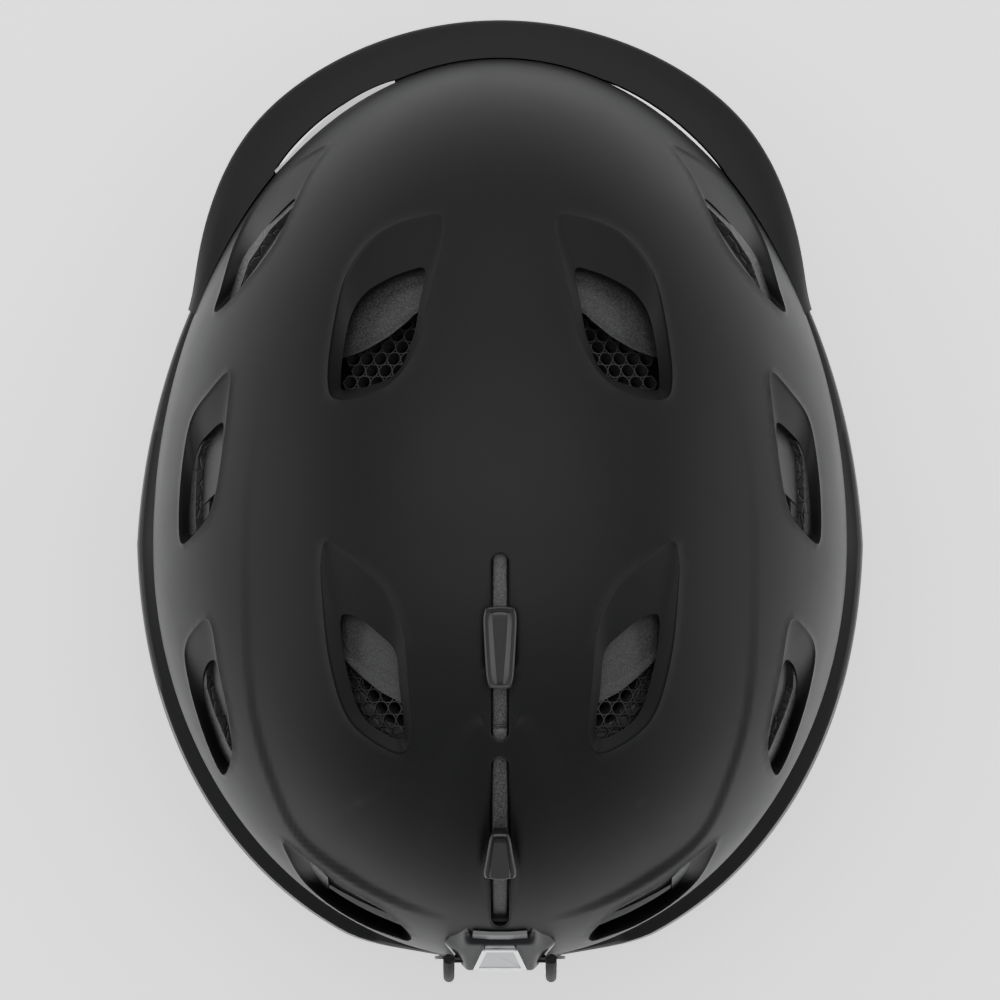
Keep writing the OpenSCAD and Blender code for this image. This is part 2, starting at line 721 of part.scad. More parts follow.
module strap_divider_left() { mirror([1, 0, 0]) strap_divider(); }
module strap_anchors() {
    color("#777777") both_sides() for (place = anchor_places)
        anchor_at(skin_at(cavity_dome, place[0], place[1]), place[0]);
}
// A round plate on the foam's inner face.
module anchor_at(p, al) {
    translate(p) rotate([0, 0, al]) translate([-anchor_t - 1.65, 0, 0]) rotate([0, 90, 0])
        cylinder(r = 4.7, h = anchor_t, $fn = 32);
}

// The side webbing lies under the cavity: down from the divider, in one soft hump, and on to the buckle.
// Points are [distance from the middle, height] of the webbing's middle.
strap_path = [[71.2, 13.8], [71.2, 9.6], [70.4, 6], [68.8, 3.4], [66, 1.9], [62.6, 1.9], [59, 3.6], [55, 6.6],
    [50.6, 9], [46, 9.6], [41, 8.4], [36, 6], [32, 3.9], [28, 3.05]];
function side_dir(path, i) =
    let (a = path[max(0, i - 1)], b = path[min(len(path) - 1, i + 1)], d = unit(b - a)) [-d[1], d[0]];
module webbing(path) {
    n = len(path) - 1;
    edge = concat(
        [for (i = [0 : n]) path[i] + side_dir(path, i) * web_t / 2],
        [for (i = [n : -1 : 0]) path[i] - side_dir(path, i) * web_t / 2]
    );
    color("#202020") translate([0, strap_y + web_w / 2, 0]) rotate([90, 0, 0]) linear_extrude(web_w) polygon(edge);
}
module chin_strap_right() { webbing(concat(strap_path, [[14, 3.05]])); }
module chin_strap_left() { mirror([1, 0, 0]) webbing(strap_path); }
// The end of the left-hand webbing goes round the plug's bar and travels with it.
module plug_webbing() { webbing([[-14, 3.05], [-27.8, 3.05]]); }
// Padded sleeve under the left-hand webbing's hump.
module chin_pad() {
    color("#3a3a3a") translate([0, strap_y + 13, 0]) rotate([90, 0, 0]) linear_extrude(26)
        polygon([[37.4, 8.2], [41, 9.8], [46, 11], [51, 10.4], [55.6, 8], [58.6, 5.6], [60.4, 7.6], [55, 13],
            [50, 15.2], [44, 15.4], [38, 12.4]]);
}
module strap_keeper() {
    color("#101010") translate([-34.6, strap_y, 5.2]) rotate([0, 28, 0]) difference() {
        cube([4, web_w + 4, 6], center = true);
        cube([6, web_w + 0.6, web_t + 1.4], center = true);
    }
}

// ---- Buckle: the plug slides out of the socket forwards, and magnets draw it home.
buckle_w = 24;
buckle_z = 0.4;
tongue = [8, 2.6];
module buckle_block(x0, x1, z0, z1, w) { translate([x0, strap_y - w / 2, z0]) cube([x1 - x0, w, z1 - z0]); }
module buckle_socket() {
    color("#161616") difference() {
        buckle_block(0.4, 22, buckle_z, 8.4, buckle_w);
        // The channel that the tongue slides in is open at the front.
        translate([-1, strap_y - buckle_w / 2 + 2, 3 - 0.3]) cube([tongue[0] + 1.7, buckle_w, tongue[1] + 0.6]);
        translate([4.5, strap_y, 1]) cylinder(r = 2.55, h = 1.35, $fn = 32);
        translate([13, strap_y - web_w / 2 - 0.4, 1.9]) cube([20, web_w + 0.8, 2.3]);
    }
}
module buckle_plug() {
    color("#161616") difference() {
        union() {
            buckle_block(-22, 0, buckle_z, 8.4, buckle_w);
            translate([-0.5, strap_y - buckle_w / 2 + 2.4, 3]) cube([tongue[0] + 0.5, buckle_w - 2.4, tongue[1]]);
        }
        translate([-33, strap_y - web_w / 2 - 0.4, 1.9]) cube([20, web_w + 0.8, 2.3]);
    }
}
module buckle_pull_tab() {
    color("#b02020") translate([-16, strap_y + buckle_w / 2, 2.2]) cube([10, 14, 1.4]);
}
module buckle_magnets() {
    color("#a0a0a0") translate([4.5, strap_y, 1.1]) cylinder(r = 2.4, h = 1.1, $fn = 32);
}

// ---- Goggle clip. Its cords come out under its lower edge, and it swings down on the pin there.
clip_axis = [-137.4, 133.2];
clip_w = [17.5, 33, 22];
clip_tilt = 32;
pin_r = 1.2;
module across(w) { translate([-w / 2, 0, 0]) rotate([90, 0, 90]) linear_extrude(w) children(); }
// The clip's face, from its lower edge: x across, y up the face.
clip_len = 26;
module clip_face() {
    polygon([[-clip_w[2] / 2, -2], [-clip_w[1] / 2, 8.5], [-clip_w[0] / 2, clip_len], [clip_w[0] / 2, clip_len],
        [clip_w[1] / 2, 8.5], [clip_w[2] / 2, -2]]);
}
module in_face() { translate([0, -141, 131.5]) rotate([90 - clip_tilt, 0, 0]) children(); }
module goggle_clip() {
    color("#1d1d1d") difference() {
        intersection() {
            across(40) polygon([[-127.2, 153.6], [-129, 154.6], [-141.2, 134.6], [-141.4, 131.4], [-136.2, 130.6],
                [-134.9, 136], [-131.6, 146]]);
            in_face() translate([0, 0, -25]) linear_extrude(40) clip_face();
        }
        translate([-20, clip_axis[0], clip_axis[1]]) rotate([0, 90, 0]) cylinder(r = pin_r + 0.06, h = 40, $fn = 40);
        in_face() translate([0, 0, -0.75]) linear_extrude(6) polygon([[-8.3, 1], [8.3, 1], [5, 13.8], [-5, 13.8]]);
    }
}
module goggle_clip_plate() {
    color("#b8bcc0") in_face() difference() {
        translate([0, 0, -0.65]) linear_extrude(1.25) polygon([[-8.1, 1.2], [8.1, 1.2], [4.8, 13.6], [-4.8, 13.6]]);
        translate([0, 0, 0.1]) linear_extrude(2) polygon([[-6.3, 2.4], [6.3, 2.4], [4.2, 10.4], [-4.2, 10.4]]);
        for (x = [-3.9, 0.5]) translate([x, 11.4, -0.1]) cube([3.4, 1.1, 2]);
    }
}
module goggle_clip_seat() {
    color("#141414")
        patch(outer_dome, -0.3, -1.3, 266, 274, function(al) 148, function(al) 139, m = 3, n = 2);
}
module clip_pin() {
    color("#8a8a8a") translate([-13.6, clip_axis[0], clip_axis[1]]) rotate([0, 90, 0])
        cylinder(r = pin_r, h = 27.2, $fn = 40);
}

// The elastic cord runs from the pin's ends down over the lower shell and into two grommets.
cord_r = 1.7;
cord_x = 15.4;
cord_path = [[-137.4, 133.2], [-139, 130], [-140.7, 125], [-142, 118], [-143, 108], [-143.6, 98], [-143.7, 88],
    [-143.4, 78], [-142.4, 70], [-140.6, 65.5], [-137.4, 63.4], [-133.6, 63]];
cord_end = len(cord_path) - 1;
module cord() {
    sides = 8;
    rings = [
        for (i = [0 : cord_end])
            let (s = side_dir(cord_path, i))
            [for (k = [0 : sides - 1])
                let (a = k * 360 / sides, n = cord_r * cos(a))
                [cord_x + cord_r * sin(a), cord_path[i][0] + s[0] * n, cord_path[i][1] + s[1] * n]]
    ];
    faces = concat(
        [[for (k = [0 : sides - 1]) k]],
        [for (i = [0 : cord_end - 1], k = [0 : sides - 1])
            let (a = i * sides + k, b = i * sides + (k + 1) % sides)
            [b, a, a + sides, b + sides]],
        [[for (k = [sides - 1 : -1 : 0]) cord_end * sides + k]]
    );
    polyhedron([for (ring = rings, p = ring) p], faces, convexity = 4);
}
module goggle_cord() { color("#141414") both_sides() cord(); }
module cord_holes(r) {
    both_sides() translate([cord_x, -120, cord_path[cord_end][1]]) rotate([90, 0, 0]) cylinder(r = r, h = 30, $fn = 24);
}
module cord_grommets() {
    color("#0e0e0e") both_sides() translate([cord_x, -134.4, cord_path[cord_end][1]]) rotate([90, 0, 0]) difference() {
        union() {
            cylinder(r = 3.1, h = 3.6, $fn = 32);
            translate([0, 0, 3.6]) cylinder(r = 4.4, h = 1, $fn = 32);
        }
        translate([0, 0, -1]) cylinder(r = cord_r + 0.1, h = 9, $fn = 32);
    }
}

upper_shell();
lower_shell();
brim();
accent_plate();
eps_liner();
honeycomb_front();
honeycomb_temple();
honeycomb_side();
honeycomb_crown_rear();
honeycomb_rear();
front_shutter();
front_slider_knob();
rear_shutter();
rear_slider_knob();
crown_pad();
brow_pad();
side_pads();
rear_pads();
nape_pad();
halo_band();
dial_housing();
dial_cover();
cradle_hanger();
fit_dial();
dial_pinion();
rack_left();
rack_right();
ear_pad_left();
ear_pad_right();
ear_pad_rail_left();
ear_pad_rail_right();
ear_grille_left();
ear_grille_right();
strap_yoke_left();
strap_yoke_right();
strap_divider_left();
strap_divider_right();
strap_anchors();
chin_strap_left();
chin_strap_right();
plug_webbing();
chin_pad();
strap_keeper();
buckle_socket();
buckle_plug();
buckle_pull_tab();
buckle_magnets();
goggle_clip();
goggle_clip_plate();
goggle_clip_seat();
clip_pin();
goggle_cord();
cord_grommets();
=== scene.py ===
"""Looks of a brimmed ski helmet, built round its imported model.

Lengths in the pieces' own classes are millimetres, and MM turns them into metres when a mesh is placed.
The two shells, their dished vents and most of the padding follow one dome, so they are modelled on a
flat pattern of that dome and lifted on to it at the end.
"""
import logging
import math
from collections.abc import Callable, Iterable, Sequence
from dataclasses import dataclass, field
from enum import Enum

import bmesh
import bpy
import numpy as np
from mathutils import Matrix, Vector


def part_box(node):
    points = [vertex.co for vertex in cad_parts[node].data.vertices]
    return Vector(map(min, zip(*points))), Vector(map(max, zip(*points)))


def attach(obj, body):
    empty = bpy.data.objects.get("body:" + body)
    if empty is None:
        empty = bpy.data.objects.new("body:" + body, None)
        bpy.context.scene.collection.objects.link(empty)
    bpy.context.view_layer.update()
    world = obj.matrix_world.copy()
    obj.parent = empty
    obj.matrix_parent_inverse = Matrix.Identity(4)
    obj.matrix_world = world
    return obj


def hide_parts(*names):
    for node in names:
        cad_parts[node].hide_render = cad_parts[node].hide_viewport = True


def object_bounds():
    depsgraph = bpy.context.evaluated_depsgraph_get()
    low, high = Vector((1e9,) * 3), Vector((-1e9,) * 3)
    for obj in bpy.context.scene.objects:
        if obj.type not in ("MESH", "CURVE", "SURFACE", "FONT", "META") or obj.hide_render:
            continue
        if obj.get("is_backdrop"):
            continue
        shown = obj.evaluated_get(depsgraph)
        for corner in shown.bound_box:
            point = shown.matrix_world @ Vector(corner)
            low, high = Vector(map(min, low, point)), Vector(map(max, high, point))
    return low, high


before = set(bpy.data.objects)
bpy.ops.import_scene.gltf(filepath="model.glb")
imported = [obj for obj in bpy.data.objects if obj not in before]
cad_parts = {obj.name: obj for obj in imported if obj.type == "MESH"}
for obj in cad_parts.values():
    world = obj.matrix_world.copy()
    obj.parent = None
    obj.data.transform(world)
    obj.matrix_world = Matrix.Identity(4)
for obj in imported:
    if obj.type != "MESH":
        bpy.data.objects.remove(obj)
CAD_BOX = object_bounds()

LOG = logging.getLogger("helmet")
MM = 0.001

Point2 = tuple[float, float]
Place = Callable[[float, float], Sequence[float]]
Place3 = Callable[[float, float, float], Sequence[float]]


class Side(Enum):
    """One half of the helmet, by the sign of X."""

    RIGHT = 1
    LEFT = -1

    @property
    def word(self) -> str:
        """Name ending for the side's pieces."""
        return self.name.lower()


# ---------------------------------------------------------------- small sums


def mix(a: float, b: float, share: float) -> float:
    """Value the given share of the way from a to b."""
    return a + (b - a) * share


def ease(share: float) -> float:
    """Share clamped to 0..1, with a soft start and a soft end."""
    held = min(1.0, max(0.0, share))
    return held * held * (3 - 2 * held)


def along(stops: Sequence[Point2], at: float) -> float:
    """Value at a place between (place, value) stops, straight from stop to stop."""
    places, values = zip(*stops)
    return float(np.interp(at, places, values))


def rounded_path(points: Sequence[Sequence[float]], steps: int, closed: bool = False) -> list[Vector]:
    """Points on the smooth curve that passes through a few control points.

    Args:
        points: Control points, in two or three dimensions.
        steps: Points made for each stretch between two control points.
        closed: True for a loop, whose first point isn't repeated.

    Returns:
        The curve's points in order.
    """
    knots = [Vector(p) for p in points]
    count = len(knots)
    stretches = count if closed else count - 1
    path = []
    for i in range(stretches):
        if closed:
            before, a, b, after = (knots[(i + k) % count] for k in (-1, 0, 1, 2))
        else:
            a, b = knots[i], knots[i + 1]
            before = knots[i - 1] if i else a + (a - b)
            after = knots[i + 2] if i + 2 < count else b + (b - a)
        for k in range(steps):
            t = k / steps
            path.append(
                0.5 * (2 * a + (b - before) * t + (2 * before - 5 * a + 4 * b - after) * t * t
                       + (3 * a - before - 3 * b + after) * t * t * t)
            )
    if not closed:
        path.append(knots[-1].copy())
    return path


def distance_to_path(places: np.ndarray, path: np.ndarray, closed: bool) -> tuple[np.ndarray, np.ndarray]:
    """How far each place lies from a path in the plane, and on which side.

    Args:
        places: Places, one row each.
        path: The path's points, one row each.
        closed: True when the last point joins the first.

    Returns:
        Distances, negative on the path's left, and the share of the path at the nearest point.
    """
    ends = np.roll(path, -1, axis=0) if closed else path[1:]
    starts = path if closed else path[:-1]
    best = np.full(len(places), np.inf)
    signed = np.zeros(len(places))
    share = np.zeros(len(places))
    for i, (a, b) in enumerate(zip(starts, ends)):
        run = b - a
        t = np.clip(((places - a) @ run) / (run @ run), 0, 1)
        off = places - (a + t[:, None] * run)
        gap = np.hypot(off[:, 0], off[:, 1])
        nearer = gap < best
        turn = run[0] * off[:, 1] - run[1] * off[:, 0]
        best = np.where(nearer, gap, best)
        signed = np.where(nearer, np.where(turn > 0, -gap, gap), signed)
        share = np.where(nearer, (i + t) / len(starts), share)
    return signed, share


def inside_loop(places: np.ndarray, loop: np.ndarray) -> np.ndarray:
    """True for each place inside a closed loop in the plane."""
    x, y = places[:, 0], places[:, 1]
    hits = np.zeros(len(places), int)
    for a, b in zip(loop, np.roll(loop, -1, axis=0)):
        crosses = (a[1] > y) != (b[1] > y)
        with np.errstate(divide="ignore", invalid="ignore"):
            reach = a[0] + (y - a[1]) / (b[1] - a[1]) * (b[0] - a[0])
        hits += crosses & (x < reach)
    return hits % 2 == 1


# ---------------------------------------------------------------- the dome


@dataclass(frozen=True)
class Dome:
    """The surface that both shells, the foam and the pads follow.

    A place on it is an azimuth, anticlockwise from +X, and a latitude: 90 degrees at the crown, 0 at the
    widest line, and below that a drop of two millimetres a degree. On the flat pattern the same place
    is (90 - latitude) degrees from the middle, in the azimuth's direction.
    """

    half_width: float
    front: float
    rear: float
    crown: float
    mid_y: float = -13.5
    mid_z: float = 95.0
    power: float = 2.2
    low_step: float = 2.0
    side_tuck: float = 0.04
    rear_tuck: float = 0.1

    @classmethod
    def of_shell(cls) -> "Dome":
        """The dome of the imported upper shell."""
        low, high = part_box("upper_shell")
        blank = cls(1, 1, 1, 1)
        return cls(
            half_width=high.x / MM,
            front=high.y / MM - blank.mid_y,
            rear=blank.mid_y - low.y / MM,
            crown=high.z / MM - blank.mid_z,
        )

    def inset(self, depth: float) -> "Dome":
        """The dome this far under this one."""
        return Dome(self.half_width - depth, self.front - depth, self.rear - depth, self.crown - depth)

    def plan_radius(self, azimuth: np.ndarray) -> np.ndarray:
        """Distance from the axis to the plan outline, for azimuths in radians."""
        reach = np.where(np.sin(azimuth) >= 0, self.front, self.rear)
        return 1 / np.sqrt((np.cos(azimuth) / self.half_width) ** 2 + (np.sin(azimuth) / reach) ** 2)

    def latitude_at(self, height: float) -> float:
        """Latitude, in degrees, of a height above the ground."""
        rise = height - self.mid_z
        if rise < 0:
            return rise / self.low_step
        return math.degrees(math.asin(min(1.0, (rise / self.crown) ** (self.power / 2))))

    def flat(self, x: float, y: float) -> Vector:
        """Place on the flat pattern of a place in plan."""
        azimuth = math.atan2(y - self.mid_y, x)
        share = min(1.0, math.hypot(x, y - self.mid_y) / float(self.plan_radius(np.array(azimuth))))
        colatitude = 90 - math.degrees(math.acos(share ** (self.power / 2)))
        return Vector((colatitude * math.cos(azimuth), colatitude * math.sin(azimuth)))

    def flat_sunk(self, x: float, y: float, depth: float) -> Vector:
        """Place on the flat pattern whose point this far under the dome lies at a place in plan."""
        guess = Vector((x, y))
        for _ in range(6):
            spot = self.flat(guess.x, guess.y)
            lifted = self.lift(np.array([[spot.x, spot.y, -depth]]))[0]
            guess += Vector((x - lifted[0], y - lifted[1])) * 0.9
        return self.flat(guess.x, guess.y)

    def surface(self, azimuth: np.ndarray, latitude: np.ndarray, out: np.ndarray | float = 0.0) -> np.ndarray:
        """Points on the dome, or standing off it along its normal.

        Args:
            azimuth: Azimuths in radians.
            latitude: Latitudes in degrees.
            out: Millimetres outwards along the normal, negative for inwards.

        Returns:
            Points in millimetres, one row each.
        """
        lat = np.radians(np.maximum(latitude, 0))
        power = 2 / self.power
        back = np.maximum(0, -np.sin(azimuth))
        tuck = mix(self.side_tuck, self.rear_tuck, back)
        low = np.minimum(latitude, 0) * self.low_step
        share = np.where(latitude >= 0, np.cos(lat) ** power, 1 - tuck * (low / 60) ** 2)
        rise = np.where(latitude >= 0, self.crown * np.sin(lat) ** power, low)
        radius = share * self.plan_radius(azimuth)
        x, y = radius * np.cos(azimuth), radius * np.sin(azimuth)
        reach = np.where(np.sin(azimuth) >= 0, self.front, self.rear)
        steep = np.where(latitude >= 0, np.maximum(share, 1e-6) ** (self.power - 2), 1)
        height = np.maximum(rise, 0) / self.crown
        normal = np.stack(
            [steep * x / self.half_width**2, steep * y / reach**2, height ** (self.power - 1) / self.crown], axis=-1
        )
        normal /= np.linalg.norm(normal, axis=-1, keepdims=True)
        points = np.stack([x, self.mid_y + y, self.mid_z + rise], axis=-1)
        return points + normal * np.asarray(out)[..., None]

    def lift(self, pattern: np.ndarray) -> np.ndarray:
        """Points in millimetres of rows (flat x, flat y, millimetres out of the dome)."""
        azimuth = np.arctan2(pattern[:, 1], pattern[:, 0])
        latitude = 90 - np.hypot(pattern[:, 0], pattern[:, 1])
        return self.surface(azimuth, latitude, pattern[:, 2])

    def at(self, azimuth_deg: float, height: float, out: float = 0.0) -> Vector:
        """One point of the dome, at an azimuth in degrees and a height above the ground."""
        angle, lat = np.array([math.radians(azimuth_deg)]), np.array([self.latitude_at(height)])
        return Vector(self.surface(angle, lat, np.array([out]))[0])


DOME = Dome.of_shell()


def bell(share: float) -> float:
    """The curve by which the shells' edges rise and fall round the helmet."""
    return abs(share) ** 1.5


def seam_height(azimuth_deg: float) -> float:
    """Height of the upper shell's edge."""
    s = math.sin(math.radians(azimuth_deg))
    return 97 + 11 * bell(s) if s > 0 else 97 - 19 * bell(s)


def rim_height(azimuth_deg: float) -> float:
    """Height of the lower shell's rim."""
    s = math.sin(math.radians(azimuth_deg))
    return 70 + 29 * bell(s) if s > 0 else 70 - 28 * bell(s)


def flare(azimuth_deg: float) -> float:
    """How far the lower shell stands out of the dome."""
    s = math.sin(math.radians(azimuth_deg))
    side, back, bulge = 5.1, 2.4, 4.0
    if s < 0:
        return mix(side, back, -s) + bulge * ease((1 + s) / 0.07) * (1 - ease(1 + s))
    return side * max(0.0, 1 - s / 0.9)


# ---------------------------------------------------------------- mesh tools


def weld(bm: bmesh.types.BMesh, gap: float = 1e-5) -> None:
    """Merges doubles and turns every face outwards."""
    bmesh.ops.remove_doubles(bm, verts=bm.verts, dist=gap)
    bmesh.ops.recalc_face_normals(bm, faces=bm.faces)


def mark_sharp(bm: bmesh.types.BMesh, degrees: float = 35.0) -> None:
    """Shades every face smooth, and breaks the shading at edges sharper than an angle."""
    for face in bm.faces:
        face.smooth = True
    limit = math.radians(degrees)
    for edge in bm.edges:
        edge.smooth = len(edge.link_faces) == 2 and edge.calc_face_angle(0.0) < limit


def swept(columns: int, rows: int, place: Place, wrap_columns: bool = False, wrap_rows: bool = False,
          caps: bool = False) -> bmesh.types.BMesh:
    """A sheet or tube whose place is given by two shares.

    Args:
        columns: Faces along the first share.
        rows: Faces along the second share.
        place: Point in millimetres for a pair of shares from 0 to 1.
        wrap_columns: True where the first share closes on itself.
        wrap_rows: True where the second share closes on itself.
        caps: True to close the open ends.

    Returns:
        The mesh, in metres. Its UV map, named weave, holds the two shares.
    """
    bm = bmesh.new()
    bm.loops.layers.uv.new("weave")
    bmesh.ops.create_grid(bm, x_segments=columns, y_segments=rows, size=0.5, calc_uvs=True)
    for vert in bm.verts:
        vert.co = Vector(place(vert.co.x + 0.5, vert.co.y + 0.5)) * MM
    if wrap_columns or wrap_rows:
        bmesh.ops.remove_doubles(bm, verts=bm.verts, dist=1e-6)
    if caps:
        bmesh.ops.holes_fill(bm, edges=[e for e in bm.edges if e.is_boundary])
    bmesh.ops.recalc_face_normals(bm, faces=bm.faces)
    return bm


def slab(columns: int, rows: int, place: Place3, corner: float = 0.0,
         layers: int = 2) -> tuple[bmesh.types.BMesh, list[Vector]]:
    """A closed slab, its two faces and its wall placed by three shares.

    Args:
        columns: Faces across.
        rows: Faces along.
        place: Point in millimetres for a place across and along, each -1 to 1, and through, 0 to 1.
        corner: How far the corners are rounded, from 0 to 1.
        layers: Faces from one face of the slab to the other.

    Returns:
        The mesh, in metres, and the three shares of each of its vertices.
    """
    bm = bmesh.new()
    bm.loops.layers.uv.new("weave")
    bmesh.ops.create_grid(bm, x_segments=columns, y_segments=rows, size=1, calc_uvs=True)
    grown = bmesh.ops.extrude_face_region(bm, geom=bm.faces[:], use_keep_orig=True)["geom"]
    bmesh.ops.translate(bm, verts=[v for v in grown if isinstance(v, bmesh.types.BMVert)], vec=(0, 0, 1))
    walls = [e for e in bm.edges if abs(e.verts[0].co.z - e.verts[1].co.z) > 0.5]
    bmesh.ops.subdivide_edges(bm, edges=walls, cuts=layers - 1, use_grid_fill=True)
    shares = [v.co.copy() for v in bm.verts]
    for vert, (a, b, c) in zip(bm.verts, shares):
        across = a * math.sqrt(1 - corner * b * b / 2)
        up = b * math.sqrt(1 - corner * a * a / 2)
        vert.co = Vector(place(across, up, c)) * MM
    bmesh.ops.recalc_face_normals(bm, faces=bm.faces)
    return bm, shares


def tube(path: Sequence[Vector], radius: Callable[[float], float] | float, sides: int = 12) -> bmesh.types.BMesh:
    """A round tube with closed ends along a path.

    Args:
        path: The middle line's points, in millimetres.
        radius: The radius, or the radius at each share of the path.
        sides: Faces round the tube.

    Returns:
        The mesh, in metres.
    """
    count = len(path) - 1
    size = radius if callable(radius) else (lambda share: radius)
    up = Vector((0.31, 0.17, 0.93)).normalized()

    def place(share: float, turn: float) -> Vector:
        i = round(share * count)
        run = (path[min(count, i + 1)] - path[max(0, i - 1)]).normalized()
        side = run.cross(up).normalized()
        over = side.cross(run)
        angle = turn * math.tau
        return path[i] + (side * math.cos(angle) + over * math.sin(angle)) * size(i / count)

    return swept(count, sides, place, wrap_rows=True, caps=True)


def piece(name: str, bm: bmesh.types.BMesh, finish: bpy.types.Material, body: str, slot: str,
          stands_for: Iterable[str] = (), sharp: float = 35.0) -> bpy.types.Object:
    """Makes one piece of the helmet from a finished bmesh.

    Args:
        name: The piece's name.
        bm: Its mesh, in place and in metres. It is freed.
        finish: Its material.
        body: The CAD body that it rides on.
        slot: The record's material slot. It is not used.
        stands_for: CAD nodes that it replaces.
        sharp: Edges sharper than this many degrees break the shading.

    Returns:
        The piece.
    """
    mark_sharp(bm, sharp)
    mesh = bpy.data.meshes.new(name)
    bm.to_mesh(mesh)
    bm.free()
    mesh.materials.append(finish)
    made = bpy.data.objects.new(name, mesh)
    bpy.context.scene.collection.objects.link(made)
    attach(made, body)
    for node in stands_for:
        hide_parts(node)
    LOG.info("%s: %d faces on %s", name, len(mesh.polygons), body)
    return made


# ---------------------------------------------------------------- finishes


class Nodes:
    """A material's node tree with its Principled shader, and short ways to add to it."""

    def __init__(self, name: str) -> None:
        """Starts a material.

        Args:
            name: The material's name.
        """
        self.material = bpy.data.materials.new(name)
        self.material.use_nodes = True
        self.tree = self.material.node_tree
        self.shader = self.tree.nodes["Principled BSDF"]
        self.coords = self.tree.nodes.new("ShaderNodeTexCoord").outputs["Object"]

    def add(self, kind: str, **values: object) -> bpy.types.Node:
        """Adds a node. Values go to its properties, or to the inputs of that name."""
        node = self.tree.nodes.new(kind)
        for key, value in values.items():
            if hasattr(node, key):
                setattr(node, key, value)
            else:
                node.inputs[key.replace("_", " ")].default_value = value
        return node

    def join(self, output: bpy.types.NodeSocket, socket: bpy.types.NodeSocket) -> None:
        """Links an output to an input."""
        self.tree.links.new(output, socket)

    def noise(self, scale: float, detail: float = 3.0, stretch: Sequence[float] | None = None) -> bpy.types.NodeSocket:
        """Noise over Object coordinates.

        Args:
            scale: Cells a metre.
            detail: Octaves.
            stretch: Scale of each axis before the noise.

        Returns:
            The noise's value.
        """
        made = self.add("ShaderNodeTexNoise", Scale=scale, Detail=detail)
        if stretch is None:
            self.join(self.coords, made.inputs["Vector"])
        else:
            turned = self.add("ShaderNodeMapping", Scale=tuple(stretch))
            self.join(self.coords, turned.inputs["Vector"])
            self.join(turned.outputs["Vector"], made.inputs["Vector"])
        return made.outputs["Fac"]

    def ramp(self, value: bpy.types.NodeSocket, stops: Sequence[tuple[float, float]]) -> bpy.types.NodeSocket:
        """A grey ramp over a value, with (place, grey) stops."""
        made = self.add("ShaderNodeValToRGB")
        ends = made.color_ramp.elements
        while len(ends) < len(stops):
            ends.new(0.5)
        for element, (place, grey) in zip(ends, stops):
            element.position = place
            element.color = (grey, grey, grey, 1)
        self.join(value, made.inputs["Fac"])
        return made.outputs["Color"]

    def tint(self, value: bpy.types.NodeSocket, low: Sequence[float], high: Sequence[float],
             span: Point2 = (0.35, 0.65)) -> None:
        """Colours the shader between two colours by a value."""
        made = self.add("ShaderNodeValToRGB")
        for element, place, colour in zip(made.color_ramp.elements, span, (low, high)):
            element.position = place
            element.color = (*colour, 1)
        self.join(value, made.inputs["Fac"])
        self.join(made.outputs["Color"], self.shader.inputs["Base Color"])

    def rough(self, value: bpy.types.NodeSocket, low: float, high: float) -> None:
        """Sets the roughness between two limits by a value."""
        self.join(self.ramp(value, [(0.3, low), (0.7, high)]), self.shader.inputs["Roughness"])

    def bump(self, value: bpy.types.NodeSocket, depth_mm: float, strength: float = 1.0) -> None:
        """Adds relief to the shader's normal, over any relief that it has already."""
        made = self.add("ShaderNodeBump", Strength=strength, Distance=depth_mm * MM)
        self.join(value, made.inputs["Height"])
        before = self.shader.inputs["Normal"].links
        if before:
            self.join(before[0].from_socket, made.inputs["Normal"])
        self.join(made.outputs["Normal"], self.shader.inputs["Normal"])


@dataclass(frozen=True)
class MouldedPlastic:
    """Moulded or painted plastic with a fine grain."""

    name: str
    colour: tuple[float, float, float]
    roughness: float = 0.5
    grain_mm: float = 0.35
    relief_mm: float = 0.01
    spread: float = 0.08
    sheen: float = 0.0
    specular: float = 0.5

    def build(self) -> bpy.types.Material:
        """The finish as a material."""
        nodes = Nodes(self.name)
        broad = nodes.noise(18, 4)
        fine = nodes.noise(1000 / self.grain_mm, 2)
        dim, lit = (tuple(c * k for c in self.colour) for k in (1 - self.spread, 1 + self.spread))
        nodes.tint(broad, dim, lit)
        nodes.rough(broad, self.roughness - 0.04, self.roughness + 0.04)
        nodes.bump(fine, self.relief_mm)
        nodes.shader.inputs["Specular IOR Level"].default_value = self.specular
        nodes.shader.inputs["Sheen Weight"].default_value = self.sheen
        return nodes.material


@dataclass(frozen=True)
class Speckle:
    """Plastic with a coarse sparkling grain of two greys."""

    name: str
    dark: float
    light: float
    grain_mm: float = 0.6
    relief_mm: float = 0.05
    roughness: float = 0.6

    def build(self) -> bpy.types.Material:
        """The finish as a material."""
        nodes = Nodes(self.name)
        grain = nodes.noise(1000 / self.grain_mm, 3)
        nodes.tint(grain, (self.dark,) * 3, (self.light,) * 3, (0.4, 0.66))
        nodes.rough(grain, self.roughness - 0.08, self.roughness + 0.08)
        nodes.bump(grain, self.relief_mm)
        return nodes.material


@dataclass(frozen=True)
class BeadFoam:
    """Moulded expanded foam, its beads showing as cells."""

    name: str
    colour: tuple[float, float, float]
    bead_mm: float = 3.2

    def build(self) -> bpy.types.Material:
        """The finish as a material."""
        nodes = Nodes(self.name)
        cells = nodes.add("ShaderNodeTexVoronoi", feature="DISTANCE_TO_EDGE", Scale=1000 / self.bead_mm)
        nodes.join(nodes.coords, cells.inputs["Vector"])
        edge = nodes.ramp(cells.outputs["Distance"], [(0.0, 0.0), (0.12, 1.0)])
        nodes.tint(edge, tuple(c * 0.6 for c in self.colour), self.colour, (0.0, 1.0))
        nodes.shader.inputs["Roughness"].default_value = 0.62
        nodes.bump(edge, 0.18)
        return nodes.material


